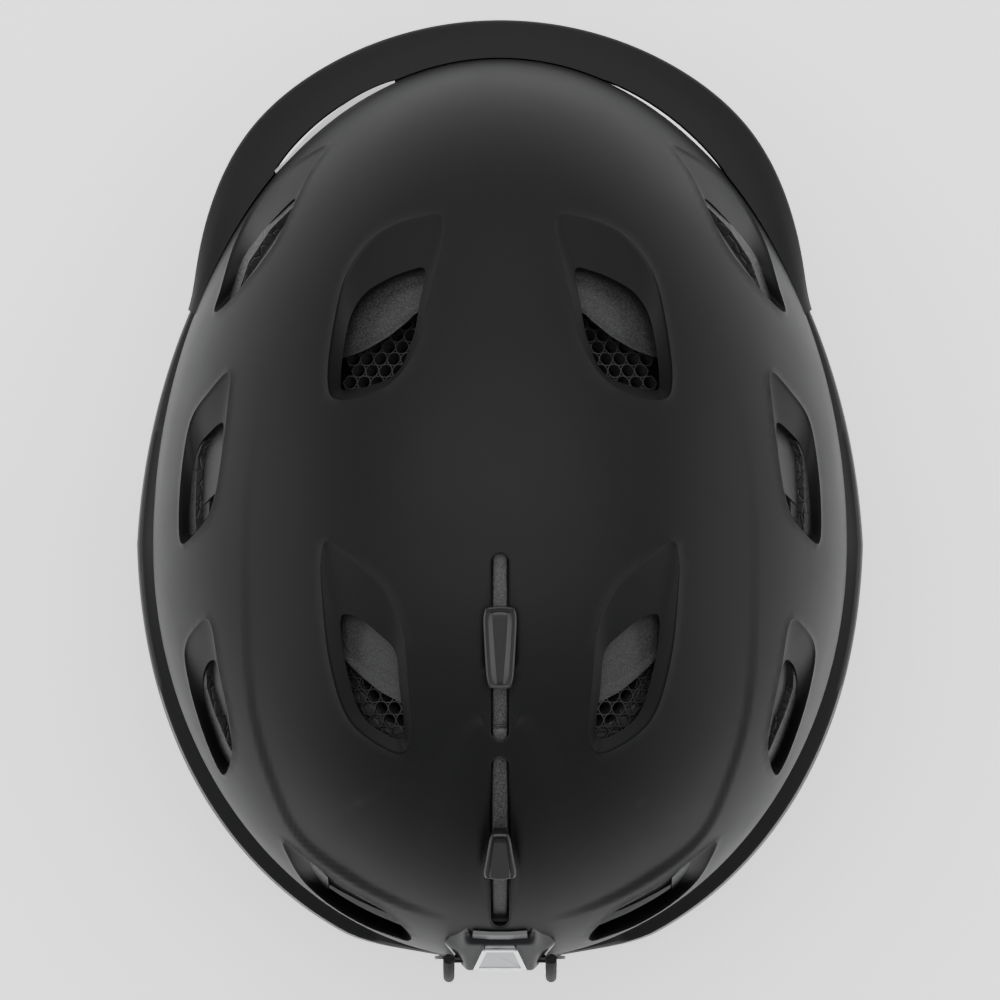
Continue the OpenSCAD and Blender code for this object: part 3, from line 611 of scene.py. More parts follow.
@dataclass(frozen=True)
class Knit:
    """Brushed knit cloth, fine ribs under a soft nap."""

    name: str
    colour: tuple[float, float, float]
    rib_mm: float = 1.1
    relief_mm: float = 0.16

    def build(self) -> bpy.types.Material:
        """The finish as a material."""
        nodes = Nodes(self.name)
        ribs = nodes.add("ShaderNodeTexWave", Scale=1000 / self.rib_mm / math.tau, Distortion=1.5, Detail=2.0)
        ribs.inputs["Detail Scale"].default_value = 1.5
        nodes.join(nodes.coords, ribs.inputs["Vector"])
        nap = nodes.noise(1400, 4)
        nodes.tint(nap, tuple(c * 0.65 for c in self.colour), tuple(c * 1.35 for c in self.colour))
        nodes.shader.inputs["Roughness"].default_value = 0.92
        nodes.shader.inputs["Sheen Weight"].default_value = 0.35
        nodes.shader.inputs["Sheen Roughness"].default_value = 0.4
        nodes.bump(ribs.outputs["Fac"], self.relief_mm)
        nodes.bump(nap, self.relief_mm * 0.6)
        return nodes.material


@dataclass(frozen=True)
class Woven:
    """Woven webbing or braid, its ribs counted across the piece's own UV map."""

    name: str
    colour: tuple[float, float, float]
    ribs_along: float = 40.0
    ribs_across: float = 9.0
    relief_mm: float = 0.14

    def build(self) -> bpy.types.Material:
        """The finish as a material."""
        nodes = Nodes(self.name)
        uv = nodes.add("ShaderNodeUVMap", uv_map="weave")
        scaled = nodes.add("ShaderNodeMapping", Scale=(self.ribs_along, self.ribs_across, 1))
        nodes.join(uv.outputs["UV"], scaled.inputs["Vector"])
        slant = nodes.add("ShaderNodeTexWave", wave_type="BANDS", bands_direction="DIAGONAL", Scale=0.5)
        nodes.join(scaled.outputs["Vector"], slant.inputs["Vector"])
        checks = nodes.add("ShaderNodeTexChecker", Scale=1.0)
        nodes.join(scaled.outputs["Vector"], checks.inputs["Vector"])
        fuzz = nodes.noise(1800, 3)
        nodes.tint(fuzz, tuple(c * 0.6 for c in self.colour), tuple(c * 1.5 for c in self.colour))
        nodes.shader.inputs["Roughness"].default_value = 0.78
        nodes.shader.inputs["Sheen Weight"].default_value = 0.06
        nodes.shader.inputs["Specular IOR Level"].default_value = 0.12
        nodes.bump(slant.outputs["Fac"], self.relief_mm)
        nodes.bump(checks.outputs["Fac"], self.relief_mm * 0.7)
        return nodes.material


@dataclass(frozen=True)
class Metal:
    """Brushed or polished metal."""

    name: str
    colour: tuple[float, float, float]
    roughness: float = 0.3
    brush: tuple[float, float, float] = (1.0, 12.0, 12.0)

    def build(self) -> bpy.types.Material:
        """The finish as a material."""
        nodes = Nodes(self.name)
        lines = nodes.noise(260, 3, self.brush)
        nodes.tint(lines, tuple(c * 0.85 for c in self.colour), self.colour)
        nodes.rough(lines, self.roughness - 0.06, self.roughness + 0.08)
        nodes.shader.inputs["Metallic"].default_value = 1.0
        nodes.bump(lines, 0.004)
        return nodes.material


MATTE_SHELL = MouldedPlastic("matte_black_shell", (0.006, 0.006, 0.0063), 0.52, 0.3, 0.012, 0.06, specular=0.12)
LOWER_SHELL = MouldedPlastic("black_lower_shell", (0.008, 0.008, 0.0085), 0.42, 0.3, 0.01, 0.08, specular=0.2)
BRIM_PLASTIC = MouldedPlastic("black_brim", (0.006, 0.006, 0.0064), 0.56, 0.3, 0.014, 0.08, specular=0.16)
ACCENT = MouldedPlastic("pale_accent", (0.5, 0.5, 0.49), 0.38, 0.5, 0.004, 0.03)
SHUTTER = Speckle("grained_shutter", 0.005, 0.024, 0.5, 0.05, 0.62)
RIB = Speckle("speckled_carrier", 0.008, 0.06, 0.45, 0.06, 0.66)


# ---------------------------------------------------------------- upper shell


@dataclass(frozen=True)
class VentShape:
    """A dished vent, on the right-hand side.

    Each pair is a point of the outer outline and the point of the hole's outline that its slope runs to,
    in plan. The depths are the hole's, at the vent's front and at its rear.
    """

    name: str
    pairs: tuple[tuple[Point2, Point2], ...]
    front_depth: float
    rear_depth: float


VENTS = (
    VentShape(
        "crown_front",
        (
            ((16.5, 82.5), (22.3, 68.2)), ((25, 83.6), (27, 68)), ((36, 79), (34, 65.2)),
            ((44, 70), (40.5, 60.8)), ((48.2, 57.5), (44.9, 52.5)), ((51, 36.5), (47.2, 36)),
            ((47.6, 29.6), (45, 32.6)), ((33.5, 33.6), (31.5, 36.9)), ((24.8, 44.5), (26, 47.5)),
            ((20.6, 61), (23.8, 58.5)),
        ),
        1.6, 4.4,
    ),
    VentShape(
        "crown_rear",
        (
            ((50.6, -12.2), (46.2, -33.8)), ((42.5, -17.8), (42, -34.8)), ((33.5, -26.8), (36, -39.4)),
            ((28.6, -39), (31, -45)), ((27.2, -55), (29.7, -56)), ((26.4, -71), (28.5, -68.5)),
            ((31, -75.4), (31.5, -70.5)), ((44.5, -66.2), (41, -63.6)), ((50.6, -48.5), (45.8, -48.5)),
            ((52.9, -27), (47.2, -38)), ((52.9, -16), (47.2, -35.5)),
        ),
        2.2, 4.6,
    ),
    VentShape(
        "temple",
        (
            ((51.5, 106), (61.5, 90)), ((63, 99.2), (65, 86.9)), ((72.5, 89.3), (70, 81.4)),
            ((79, 77.6), (75, 74.3)), ((83.2, 63.5), (78.2, 66.5)), ((85, 56), (79.6, 61.8)),
            ((78.5, 61.6), (76.2, 65.4)), ((68, 74.8), (69.4, 74.4)), ((62, 86.5), (63.6, 83.6)),
            ((57, 97), (61.6, 88.2)),
        ),
        2.6, 4.2,
    ),
    VentShape(
        "side_front",
        (
            ((80.4, 38), (82.6, 23)), ((86.5, 32.2), (86.7, 20)), ((91.8, 24.5), (90, 15.6)),
            ((94.3, 13), (91.4, 8)), ((95.6, -2), (91.9, -3)), ((95, -12.8), (91.8, -9.2)),
            ((90.5, -9.8), (89.5, -7.6)), ((85.6, -3), (86.4, -3.2)), ((82.9, 11), (83.6, 8)),
            ((80.9, 27), (82.7, 17)),
        ),
        2.6, 4.6,
    ),
    VentShape(
        "side_rear",
        (
            ((86.3, -36), (85, -48)), ((91, -38.5), (87.4, -49)), ((94, -45), (88.8, -53.5)),
            ((92.4, -56.5), (88.3, -59.5)), ((88.8, -69), (86, -66.6)), ((84.6, -79.5), (83, -73.8)),
            ((82, -82), (80.9, -78)), ((79.7, -75), (80.2, -73.5)), ((80.3, -66.5), (81.3, -66)),
            ((83.5, -50.5), (83.6, -54)),
        ),
        2.6, 4.6,
    ),
    VentShape(
        "rear",
        (
            ((64.5, -101.8), (55.6, -108.7)), ((63, -107), (55, -111.5)), ((58.5, -114.5), (52.4, -115.5)),
            ((50.5, -121.6), (46.5, -119.7)), ((40.5, -127.4), (39, -123.8)), ((31, -130.9), (32.5, -126.6)),
            ((26.6, -131.6), (29.8, -127.6)), ((28.2, -128.2), (31.2, -125.1)),
            ((36, -121.5), (38.5, -120.9)), ((47, -115.2), (47.4, -115.7)), ((57, -107.4), (53, -110.9)),
        ),
        3.6, 4.6,
    ),
)


@dataclass
class Opening:
    """An opening laid out on the flat pattern: where its slope starts, where it ends, and how deep."""

    outer: list[Vector]
    hole: list[Vector]
    depths: list[float]
    raised: bool = False

    @classmethod
    def of_vent(cls, vent: VentShape, side: Side, steps: int = 6) -> "Opening":
        """Lays a vent out on one side."""
        outer, hole = (rounded_path([pair[k] for pair in vent.pairs], steps, True) for k in (0, 1))
        low, high = min(p.y for p in outer), max(p.y for p in outer)
        depths = [mix(vent.rear_depth, vent.front_depth, ease((p.y - low) / (high - low))) for p in outer]
        return cls(
            [DOME.flat(side.value * p.x, p.y) for p in outer],
            [DOME.flat_sunk(side.value * p.x, p.y, depth) for p, depth in zip(hole, depths)],
            depths,
            True,
        )

    @classmethod
    def of_slot(cls, front: float, rear: float, width: float, lip: float, depth: float) -> "Opening":
        """Lays out a long slot with round ends on the middle line, with a lip round it."""
        loops = []
        for radius in (width / 2 + lip, width / 2):
            bm = bmesh.new()
            bmesh.ops.create_circle(bm, segments=36, radius=radius)
            for vert in bm.verts:
                vert.co.y += front - width / 2 if vert.co.y > 0 else rear + width / 2
            loops.append([DOME.flat(v.co.x, v.co.y) for v in bm.verts])
            bm.free()
        return cls(loops[0], loops[1], [depth] * len(loops[0]))


SLOTS = ((-15.9, -71.3), (-76.2, -127.6))


@dataclass
class UpperShell:
    """The domed outer shell, with its dished vents and the slots of the two sliders."""

    reach: float = 100.0
    pitch: float = 0.9
    thickness: float = 1.5
    lip: float = 0.45
    slot_width: float = 5.4
    slot_lip: float = 0.5
    hood_drop: float = 1.5
    hood_slope: float = 1.3
    rim_rise: float = 0.3
    hood_line: tuple[Point2, ...] = (
        (71.3, 30), (75.8, 0), (76.4, -30), (74.9, -60), (68.9, -84), (59.9, -102), (41.9, -115.5),
        (22, -124), (0, -127),
    )
    hood_strengths: tuple[Point2, ...] = ((0, 0), (0.12, 0.3), (0.3, 0.8), (0.36, 1), (0.41, 0.7), (0.46, 0))
    dish_shares: tuple[float, ...] = (0.05, 0.12, 0.3, 0.55, 0.8, 0.95, 1.0)

    def openings(self) -> list[Opening]:
        """Every opening of the shell."""
        laid = [Opening.of_vent(vent, side) for vent in VENTS for side in Side]
        laid.extend(
            Opening.of_slot(front, rear, self.slot_width, self.slot_lip, self.slot_lip)
            for front, rear in SLOTS
        )
        return laid

    def seam_reach(self, azimuth: np.ndarray) -> np.ndarray:
        """Distance of the shell's edge from the flat pattern's middle, for azimuths in radians."""
        degrees = np.degrees(azimuth)
        return np.array([90 - DOME.latitude_at(seam_height(a)) for a in degrees])

    def relief(self, places: np.ndarray) -> np.ndarray:
        """How far the shell stands out of the dome: it drops outside the line of the rear hood."""
        half = [Vector(p) for p in self.hood_line]
        whole = half + [Vector((-p.x, p.y)) for p in reversed(half[:-1])]
        line = np.array([DOME.flat(p.x, p.y) for p in rounded_path(whole, 8)])
        signed, share = distance_to_path(places, line, False)
        strength = np.interp(np.minimum(share, 1 - share), *zip(*self.hood_strengths))
        slope = np.clip(signed / self.hood_slope, 0, 1)
        drop = strength * slope * slope * (3 - 2 * slope)
        return -self.hood_drop * drop

    def ring(self, bm: bmesh.types.BMesh, loop: Sequence[Vector]) -> list[bmesh.types.BMVert]:
        """Adds a closed ring of edges through the loop's points."""
        made = bmesh.ops.create_circle(bm, segments=len(loop), radius=1)["verts"]
        for vert, place in zip(made, loop):
            vert.co = Vector((place[0], place[1], 0))
        return made

    def fill(self, bm: bmesh.types.BMesh, rings: Sequence[Sequence[bmesh.types.BMVert]]) -> None:
        """Fills the gaps between the grid's stepped borders and the rings that lie in or round them."""
        loose = {v for ring in rings for v in ring}
        borders = {e for e in bm.edges if e.is_boundary}
        groups = []
        while borders:
            edge = borders.pop()
            group, ends = {edge}, list(edge.verts)
            while ends:
                for near in ends.pop().link_edges:
                    if near in borders:
                        borders.discard(near)
                        group.add(near)
                        ends.extend(near.verts)
            groups.append(group)
        shares = [[] for _ in groups]
        for ring in rings:
            spot = ring[0].co
            gaps = [min((v.co - spot).length for e in group for v in e.verts) for group in groups]
            shares[gaps.index(min(gaps))].append(ring)
        for group, near in zip(groups, shares):
            inner = {
                e for ring in near for v in ring for e in v.link_edges
                if not e.link_faces and loose.issuperset(e.verts)
            }
            bmesh.ops.triangle_fill(bm, edges=list(group | inner), use_beauty=True, normal=(0, 0, 1))

    def dish(self, bm: bmesh.types.BMesh, ring: Sequence[bmesh.types.BMVert], opening: Opening) -> None:
        """Runs the shell's surface down from an opening's outer outline to its hole."""
        places = {v: i for i, v in enumerate(ring)}
        starts = [v.co.copy() for v in ring]
        edges = [e for e in {e for v in ring for e in v.link_edges} if all(v in places for v in e.verts)]
        for share in self.dish_shares:
            made = bmesh.ops.extrude_edge_only(bm, edges=edges)["geom"]
            fresh = {}
            for edge in edges:
                for vert in edge.verts:
                    mate = next(
                        e.other_vert(vert) for e in vert.link_edges
                        if e.other_vert(vert) in made and e.other_vert(vert) not in places
                    )
                    fresh[mate] = places[vert]
            for vert, i in fresh.items():
                flat = Vector(starts[i].xy).lerp(opening.hole[i], share)
                vert.co = (flat.x, flat.y, mix(starts[i].z, -opening.depths[i], 0.13 + 0.87 * share**0.9))
            edges = [e for e in made if isinstance(e, bmesh.types.BMEdge) and all(v in fresh for v in e.verts)]
            places = fresh

    def build(self) -> bpy.types.Object:
        """The upper shell."""
        openings = self.openings()
        bm = bmesh.new()
        cells = round(2 * self.reach / self.pitch)
        bmesh.ops.create_grid(bm, x_segments=cells, y_segments=cells, size=self.reach)
        places = np.array([v.co.xy for v in bm.verts])
        azimuth = np.arctan2(places[:, 1], places[:, 0])
        keep = np.hypot(places[:, 0], places[:, 1]) < self.seam_reach(azimuth) - 1.4 * self.pitch
        for opening in openings:
            loop = np.array(opening.outer)
            near = distance_to_path(places, loop, True)[0]
            keep &= ~(inside_loop(places, loop) | (np.abs(near) < 0.55 * self.pitch))
        bmesh.ops.delete(bm, geom=[v for v, kept in zip(bm.verts[:], keep) if not kept], context="VERTS")
        bmesh.ops.delete(bm, geom=[v for v in bm.verts if not v.link_faces], context="VERTS")
        turns = np.linspace(0, math.tau, 480, endpoint=False)
        edge = [Vector((r * math.cos(a), r * math.sin(a))) for a, r in zip(turns, self.seam_reach(turns) - 0.35)]
        seam = self.ring(bm, edge)
        rings = [self.ring(bm, opening.outer) for opening in openings]
        self.fill(bm, [seam, *rings])
        bm.verts.ensure_lookup_table()
        for vert, out in zip(bm.verts, self.relief(np.array([v.co.xy for v in bm.verts]))):
            vert.co.z = out
        for ring, opening in zip(rings, openings):
            if opening.raised:
                bmesh.ops.translate(bm, verts=ring, vec=(0, 0, self.rim_rise))
            self.dish(bm, ring, opening)
        lip = Opening(edge, [p * (1 + 0.35 / p.length) for p in edge], [self.lip] * len(edge))
        self.dish(bm, seam, lip)
        bmesh.ops.recalc_face_normals(bm, faces=bm.faces)
        for vert, point in zip(bm.verts, DOME.lift(np.array([v.co for v in bm.verts]))):
            vert.co = Vector(point) * MM
        if sum(f.normal.z for f in bm.faces) < 0:
            bmesh.ops.reverse_faces(bm, faces=bm.faces)
        shell = piece("upper_shell_skin", bm, MATTE_SHELL.build(), "helmet", "matte_shell", ["upper_shell"], 50)
        wall = shell.modifiers.new("wall", "SOLIDIFY")
        wall.thickness = self.thickness * MM
        wall.offset = -1
        return shell


# ---------------------------------------------------------------- lower shell and brim


@dataclass
class LowerShell:
    """The lower shell: a flared band from the upper shell's edge down to the rim."""

    thickness: float = 2.6
    columns: int = 240
    profile: tuple[tuple[float, float], ...] = (
        (0.0, -0.5), (0.0, 0.55), (0.03, 0.8), (0.12, 0.96), (0.3, 1.0), (0.5, 1.0), (0.72, 0.92),
        (0.9, 0.78), (0.965, 0.66), (0.99, 0.42), (1.0, 0.1), (1.0, -0.25),
    )

    def build(self) -> bpy.types.Object:
        """The lower shell."""
        count = len(self.profile)

        def place(turn: float, share: float) -> Vector:
            azimuth = turn * 360 - 180
            row = round(share * 2 * count) % (2 * count)
            top, foot = seam_height(azimuth) - 0.6, rim_height(azimuth)
            if row < count:
                drop, stand = self.profile[row]
                out = stand * flare(azimuth) if stand > 0 else stand * self.thickness
            else:
                drop = self.profile[2 * count - 1 - row][0]
                out = -self.thickness
            return DOME.at(azimuth, mix(top, foot, drop), out)

        bm = swept(self.columns, 2 * count, place, wrap_columns=True, wrap_rows=True)
        return piece("lower_shell_skin", bm, LOWER_SHELL.build(), "helmet", "lower_shell", ["lower_shell"], 40)


@dataclass
class Brim:
    """The short brim over the brow, with an air slot on each side between it and the shell."""

    half_span: float = 53.0
    tuck: float = -0.5
    slot: float = 1.5
    thin_slot: float = 0.45
    slot_span: Point2 = (58.5, 77.5)
    corner: float = 2.5
    top: float = 107.6
    fall: float = 5.0
    root_thickness: float = 3.0
    tip_thickness: float = 2.2
    columns: int = 212

    def out(self, azimuth: float) -> float:
        """Radius of the brim's front edge."""
        folded = 90 - abs(90 - azimuth)
        curve = 158 - 10.3 * ((90 - folded) / 30) ** 2
        chord = 158 - 10.7 - 1.5 * (58 - folded)
        body = float(DOME.plan_radius(np.array(math.radians(azimuth)))) + flare(azimuth) + 0.4
        sweep = -self.corner * math.log(math.exp(-curve / self.corner) + math.exp(-chord / self.corner))
        return self.corner / 2 * math.log(math.exp(2 * sweep / self.corner) + math.exp(2 * body / self.corner))

    def inner(self, azimuth: float) -> float:
        """Radius of the brim's edge against the shell."""
        folded = 90 - abs(90 - azimuth)
        low, high = self.slot_span
        share = (folded - low) / (high - low)
        widest = self.slot if azimuth > 90 else self.thin_slot
        recess = (widest - self.tuck) * math.sin(math.pi * share ** 0.8) ** 0.6 if 0 < share < 1 else 0
        return float(DOME.plan_radius(np.array(math.radians(azimuth)))) + self.tuck + recess

    def build(self) -> bpy.types.Object:
        """The brim."""
        section = (
            (0.0, 0.0), (0.04, 1.0), (0.5, 1.0), (0.93, 1.0), (0.975, 0.9), (1.0, 0.55), (0.985, 0.15),
            (0.95, 0.0), (0.5, -0.12), (0.03, -0.1),
        )

        def place(turn: float, share: float) -> Vector:
            azimuth = mix(90 - self.half_span, 90 + self.half_span, turn)
            near, far = self.inner(azimuth), self.out(azimuth)
            run, rise = section[round(share * len(section)) % len(section)]
            height = mix(self.root_thickness, self.tip_thickness, run)
            base = self.top - self.fall * run**2 - height
            reach = mix(near, far, run)
            angle = math.radians(azimuth)
            return Vector((reach * math.cos(angle), DOME.mid_y + reach * math.sin(angle), base + rise * height))

        bm = swept(self.columns, len(section), place, wrap_rows=True, caps=True)
        return piece("brim_moulding", bm, BRIM_PLASTIC.build(), "helmet", "matte_shell", ["brim"], 40)


# ---------------------------------------------------------------- vents' screens and shutters


def local_frame(origin: Vector, normal: Vector, up: Vector) -> Matrix:
    """A frame at a point, in metres: Z along the normal and Y as near up as it goes."""
    z = normal.normalized()
    x = up.cross(z).normalized()
    y = z.cross(x)
    place = Matrix((x, y, z)).transposed().to_4x4()
    place.translation = origin
    return place


@dataclass
class HoneycombScreens:
    """A plate of small hexagonal cells in the bottom of each vent, whose cell floors are painted near black as shade.
    """

    pitch: float = 4.3
    wall: float = 0.62
    depth: float = 5.0
    sink: float = 4.4
    low_sink: float = 9.1
    margin: float = 2.6
    nodes: dict[str, tuple[str, ...]] = field(
        default_factory=lambda: {
            "crown_front": ("honeycomb_front",), "crown_rear": ("honeycomb_crown_rear",),
            "temple": ("honeycomb_temple",), "side_front": ("honeycomb_side",), "side_rear": (),
            "rear": ("honeycomb_rear",),
        }
    )

    def screen(self, vent: VentShape, side: Side) -> bmesh.types.BMesh:
        """One vent's screen."""
        opening = Opening.of_vent(vent, side)
        # The front shutter slides over the front pair, so it sits lower.
        deep = max(opening.depths) + (self.low_sink if vent.name == "crown_front" else self.sink)
        lifted = DOME.lift(np.array([[p.x, p.y, -deep] for p in opening.hole]))
        middle = Vector(lifted.mean(axis=0))
        flat = opening.hole[0] * 0
        for p in opening.hole:
            flat += p / len(opening.hole)
        above, below = DOME.lift(np.array([[flat.x, flat.y, 1.0], [flat.x, flat.y, 0.0]]))
        frame_here = local_frame(middle, Vector(above - below), Vector((0, 1, 0)))
        back = frame_here.inverted()
        outline = np.array([(back @ Vector(p)).xy for p in lifted])
        reach = int(np.abs(outline).max() / self.pitch) + 3
        row = self.pitch * math.sqrt(3) / 2
        spots = np.array(
            [
                ((i + (j % 2) / 2) * self.pitch, j * row)
                for i in range(-reach, reach + 1)
                for j in range(-reach, reach + 1)
            ]
        )
        gap = np.abs(distance_to_path(spots, outline, True)[0])
        bm = bmesh.new()
        for spot in spots[inside_loop(spots, outline) | (gap < self.margin)]:
            place = Matrix.Translation((spot[0], spot[1], 0)) @ Matrix.Rotation(math.pi / 6, 4, "Z")
            bmesh.ops.create_circle(bm, cap_ends=True, segments=6, radius=self.pitch / math.sqrt(3), matrix=place)
        bmesh.ops.remove_doubles(bm, verts=bm.verts, dist=0.02)
        bmesh.ops.recalc_face_normals(bm, faces=bm.faces)
        cells = bm.faces[:]
        bmesh.ops.inset_individual(bm, faces=cells, thickness=self.wall / 2)
        floors = bmesh.ops.extrude_discrete_faces(bm, faces=cells)["faces"]
        sunk = {v for f in floors for v in f.verts}
        # Painted shade: the blind cell floors take a second, near-black finish with no specular, standing in for the
        # shade deep inside open cells.
        for floor in floors:
            floor.material_index = 1
        bmesh.ops.translate(bm, verts=list(sunk), vec=(0, 0, -self.depth))
        outer = [e for e in bm.edges if e.is_boundary and not sunk.intersection(e.verts)]
        rim = bmesh.ops.extrude_edge_only(bm, edges=outer)
        bmesh.ops.translate(
            bm, verts=[v for v in rim["geom"] if isinstance(v, bmesh.types.BMVert)], vec=(0, 0, -self.depth)
        )
        bmesh.ops.transform(bm, matrix=Matrix.Scale(MM, 4) @ frame_here, verts=bm.verts)
        return bm

    def build(self) -> None:
        """The screens of every vent."""
        finish = MouldedPlastic("honeycomb_plastic", (0.016, 0.016, 0.016), 0.5, 0.4, 0.02).build()
        # Painted shade: near-black, non-reflective finish for the cell floors, in place of the shade inside the cells.
        painted_shade_finish = MouldedPlastic("painted_shade_cells", (0.001, 0.001, 0.001), 0.9, 0.4, 0.02, specular=0.0).build()
        for vent in VENTS:
            for side in Side:
                stands_for = self.nodes[vent.name] if side is Side.LEFT else ()
                name = f"honeycomb_{vent.name}_{side.word}"
                made = piece(name, self.screen(vent, side), finish, "helmet", "honeycomb", stands_for, 20)
                made.data.materials.append(painted_shade_finish)


@dataclass(frozen=True)
class Arc:
    """The round path, about a cross axis, on which a shutter and its slider travel."""

    y: float
    z: float
    radius: float
    crown: float

    def at(self, x: float, y: float, out: float = 0.0) -> Vector:
        """A point over a place in plan at rest, in millimetres, this far out of the shutter."""
        reach = self.radius - self.crown * x * x
        turn = math.asin(max(-1.0, min(1.0, (y - self.y) / self.radius)))
        return Vector((x, self.y + (reach + out) * math.sin(turn), self.z + (reach + out) * math.cos(turn)))

    def frame(self, y: float, out: float) -> Matrix:
        """A frame on the middle line over a place in plan, this far from the axis, in millimetres."""
        turn = math.asin((y - self.y) / out)
        normal = Vector((0, math.sin(turn), math.cos(turn)))
        return local_frame(Vector((0, self.y, self.z)) + normal * out, normal, Vector((0, 1, 0)))


@dataclass
class VentControl:
    """One vent control: a shutter under the shell, its carrier rib in the slot, and the slider on top."""

    name: str
    arc: Arc
    front: float
    rear: float
    edge: tuple[Point2, ...]
    rib: Point2
    slider_y: float
    slider_length: float
    slider_widths: Point2
    ridge_widths: Point2
    blade_half: float = 49.5
    strip_half: float = 7.0
    thickness: float = 1.2
    rib_width: float = 4.7
    rib_rise: float = 3.0

    def shutter(self) -> None:
        """The grained blade that half closes the vents, with the strip that carries it."""

        def blade(u: float, v: float) -> Vector:
            x = mix(-self.blade_half, self.blade_half, u)
            y = mix(self.front, along(self.edge, abs(x)), min(1.0, v * 1.04))
            lip = 0.35 * ease((v - 0.86) * 14)
            return self.arc.at(x, y, lip if v < 1 else -0.3)

        def strip(u: float, v: float) -> Vector:
            y = mix(along(self.edge, 0) + 0.5, self.rear, v)
            return self.arc.at(mix(-self.strip_half, self.strip_half, u), y, -0.02)

        bm = swept(66, 25, blade)
        tail = swept(4, 60, strip)
        spare = bpy.data.meshes.new("strip")
        tail.to_mesh(spare)
        tail.free()
        bm.from_mesh(spare)
        bpy.data.meshes.remove(spare)
        bmesh.ops.recalc_face_normals(bm, faces=bm.faces)
        made = piece(f"{self.name}_shutter_blade", bm, SHUTTER.build(), f"{self.name}_vent_control", "shutter",
                     [f"{self.name}_shutter"], 30)
        wall = made.modifiers.new("wall", "SOLIDIFY")
        wall.thickness = self.thickness * MM
        wall.offset = -1

    def carrier(self) -> None:
        """The speckled rib that fills the slot."""
        high, low = self.rib

        def place(u: float, v: float) -> Vector:
            y = mix(high, low, v)
            taper = ease(min(v, 1 - v) * 9)
            angle = math.pi * u
            side = -math.copysign(abs(math.cos(angle)) ** 0.25, math.cos(angle)) * self.rib_width / 2
            out = self.rib_rise * taper * math.sin(angle) ** 0.3 if 0 < u < 1 else 0.0
            return self.arc.at(side, y, out)

        bm = swept(14, 60, place)
        piece(f"{self.name}_carrier_rib", bm, RIB.build(), f"{self.name}_vent_control", "shutter")

    def slider(self) -> None:
        """The slider: a tapered grip with a raised tapered ridge."""
        spot = DOME.flat(0, self.slider_y)
        shell = Vector(DOME.lift(np.array([[spot.x, spot.y, 0.75]]))[0])
        stand = math.hypot(shell.y - self.arc.y, shell.z - self.arc.z)
        bm = bmesh.new()
        bmesh.ops.create_grid(bm, x_segments=6, y_segments=10, size=0.5)
        half = self.slider_length / 2
        for vert in bm.verts:
            share = vert.co.y + 0.5
            round_off = 1 - 0.16 * abs(2 * share - 1) ** 8
            vert.co.x *= mix(self.slider_widths[1], self.slider_widths[0], share**0.8) * round_off
            vert.co.y = mix(-half, half, share) - 0.5 * (abs(vert.co.x) / 4) ** 2 * (2 * share - 1)
        skirt = bmesh.ops.extrude_face_region(bm, geom=bm.faces[:])["geom"]
        bmesh.ops.translate(bm, verts=[v for v in skirt if isinstance(v, bmesh.types.BMVert)], vec=(0, 0, 1.5))
        top = [f for f in skirt if isinstance(f, bmesh.types.BMFace)]
        bmesh.ops.inset_region(bm, faces=top, thickness=0.55, depth=0.45, use_even_offset=True)
        bmesh.ops.inset_region(bm, faces=top, thickness=0.9, depth=-0.25, use_even_offset=True)
        ridge = bmesh.ops.extrude_face_region(bm, geom=top)["geom"]
        raised = [v for v in ridge if isinstance(v, bmesh.types.BMVert)]
        widest = max(abs(v.co.x) for v in raised)
        for vert in raised:
            share = (vert.co.y + half) / self.slider_length
            narrow = mix(self.ridge_widths[1], self.ridge_widths[0], share) / 2 / widest
            local = max(abs(o.co.x) for o in raised if abs(o.co.y - vert.co.y) < 0.8)
            vert.co.x *= narrow * widest / max(local, 0.1)
            vert.co.z += 1.5 - 0.25 * (vert.co.x / widest) ** 2
        bmesh.ops.delete(bm, geom=[f for f in top if f.is_valid], context="FACES")
        bmesh.ops.recalc_face_normals(bm, faces=bm.faces)
        bmesh.ops.subdivide_edges(bm, edges=bm.edges[:], cuts=1, use_grid_fill=True)
        for _ in range(2):
            bmesh.ops.smooth_vert(bm, verts=bm.verts, factor=0.32, use_axis_x=True, use_axis_y=True, use_axis_z=True)
        neck = bmesh.ops.create_cube(bm, size=1)["verts"]
        deep = stand - self.arc.radius
        bmesh.ops.scale(bm, verts=neck, vec=(3.8, 13, deep + 1))
        bmesh.ops.translate(bm, verts=neck, vec=(0, 0, -deep / 2 + 0.5))
        place = Matrix.Scale(MM, 4) @ self.arc.frame(self.slider_y, stand)
        bmesh.ops.transform(bm, matrix=place, verts=bm.verts)
        finish = MouldedPlastic("slider_plastic", (0.008, 0.008, 0.008), 0.36, 0.3, 0.006, 0.06, specular=0.3)
        piece(f"{self.name}_slider_grip", bm, finish.build(), f"{self.name}_vent_control", "slider",
              [f"{self.name}_slider_knob"], 35)

    def build(self) -> None:
        """Every piece of the control."""
        self.shutter()
        self.carrier()
        self.slider()


def vent_controls() -> list[VentControl]:
    """The front and the rear vent control."""
    return [
        VentControl(
            "front", Arc(-9.6, 26.5, 182.2, 0.0071), 70, -77,
            ((0, 57), (19, 57.3), (24.7, 57.2), (27.3, 54.8), (33.1, 50.8), (39.8, 47.9), (44.6, 47), (49.5, 46.8)),
            (2, -73), -43.3, 24.9, (10.4, 7.6), (5.0, 1.6),
        ),
        VentControl(
            "rear", Arc(-26.6, 101.6, 106.2, 0.0058), -22, -131.5,
            ((0, -31), (20, -31), (24, -61.5), (29.5, -61.5), (35, -59.2), (40, -55.7), (45.5, -50.7), (49.5, -46)),
            (-62, -130.5), -104.9, 18.9, (5.9, 10.8), (3.6, 6.4),
        ),
    ]


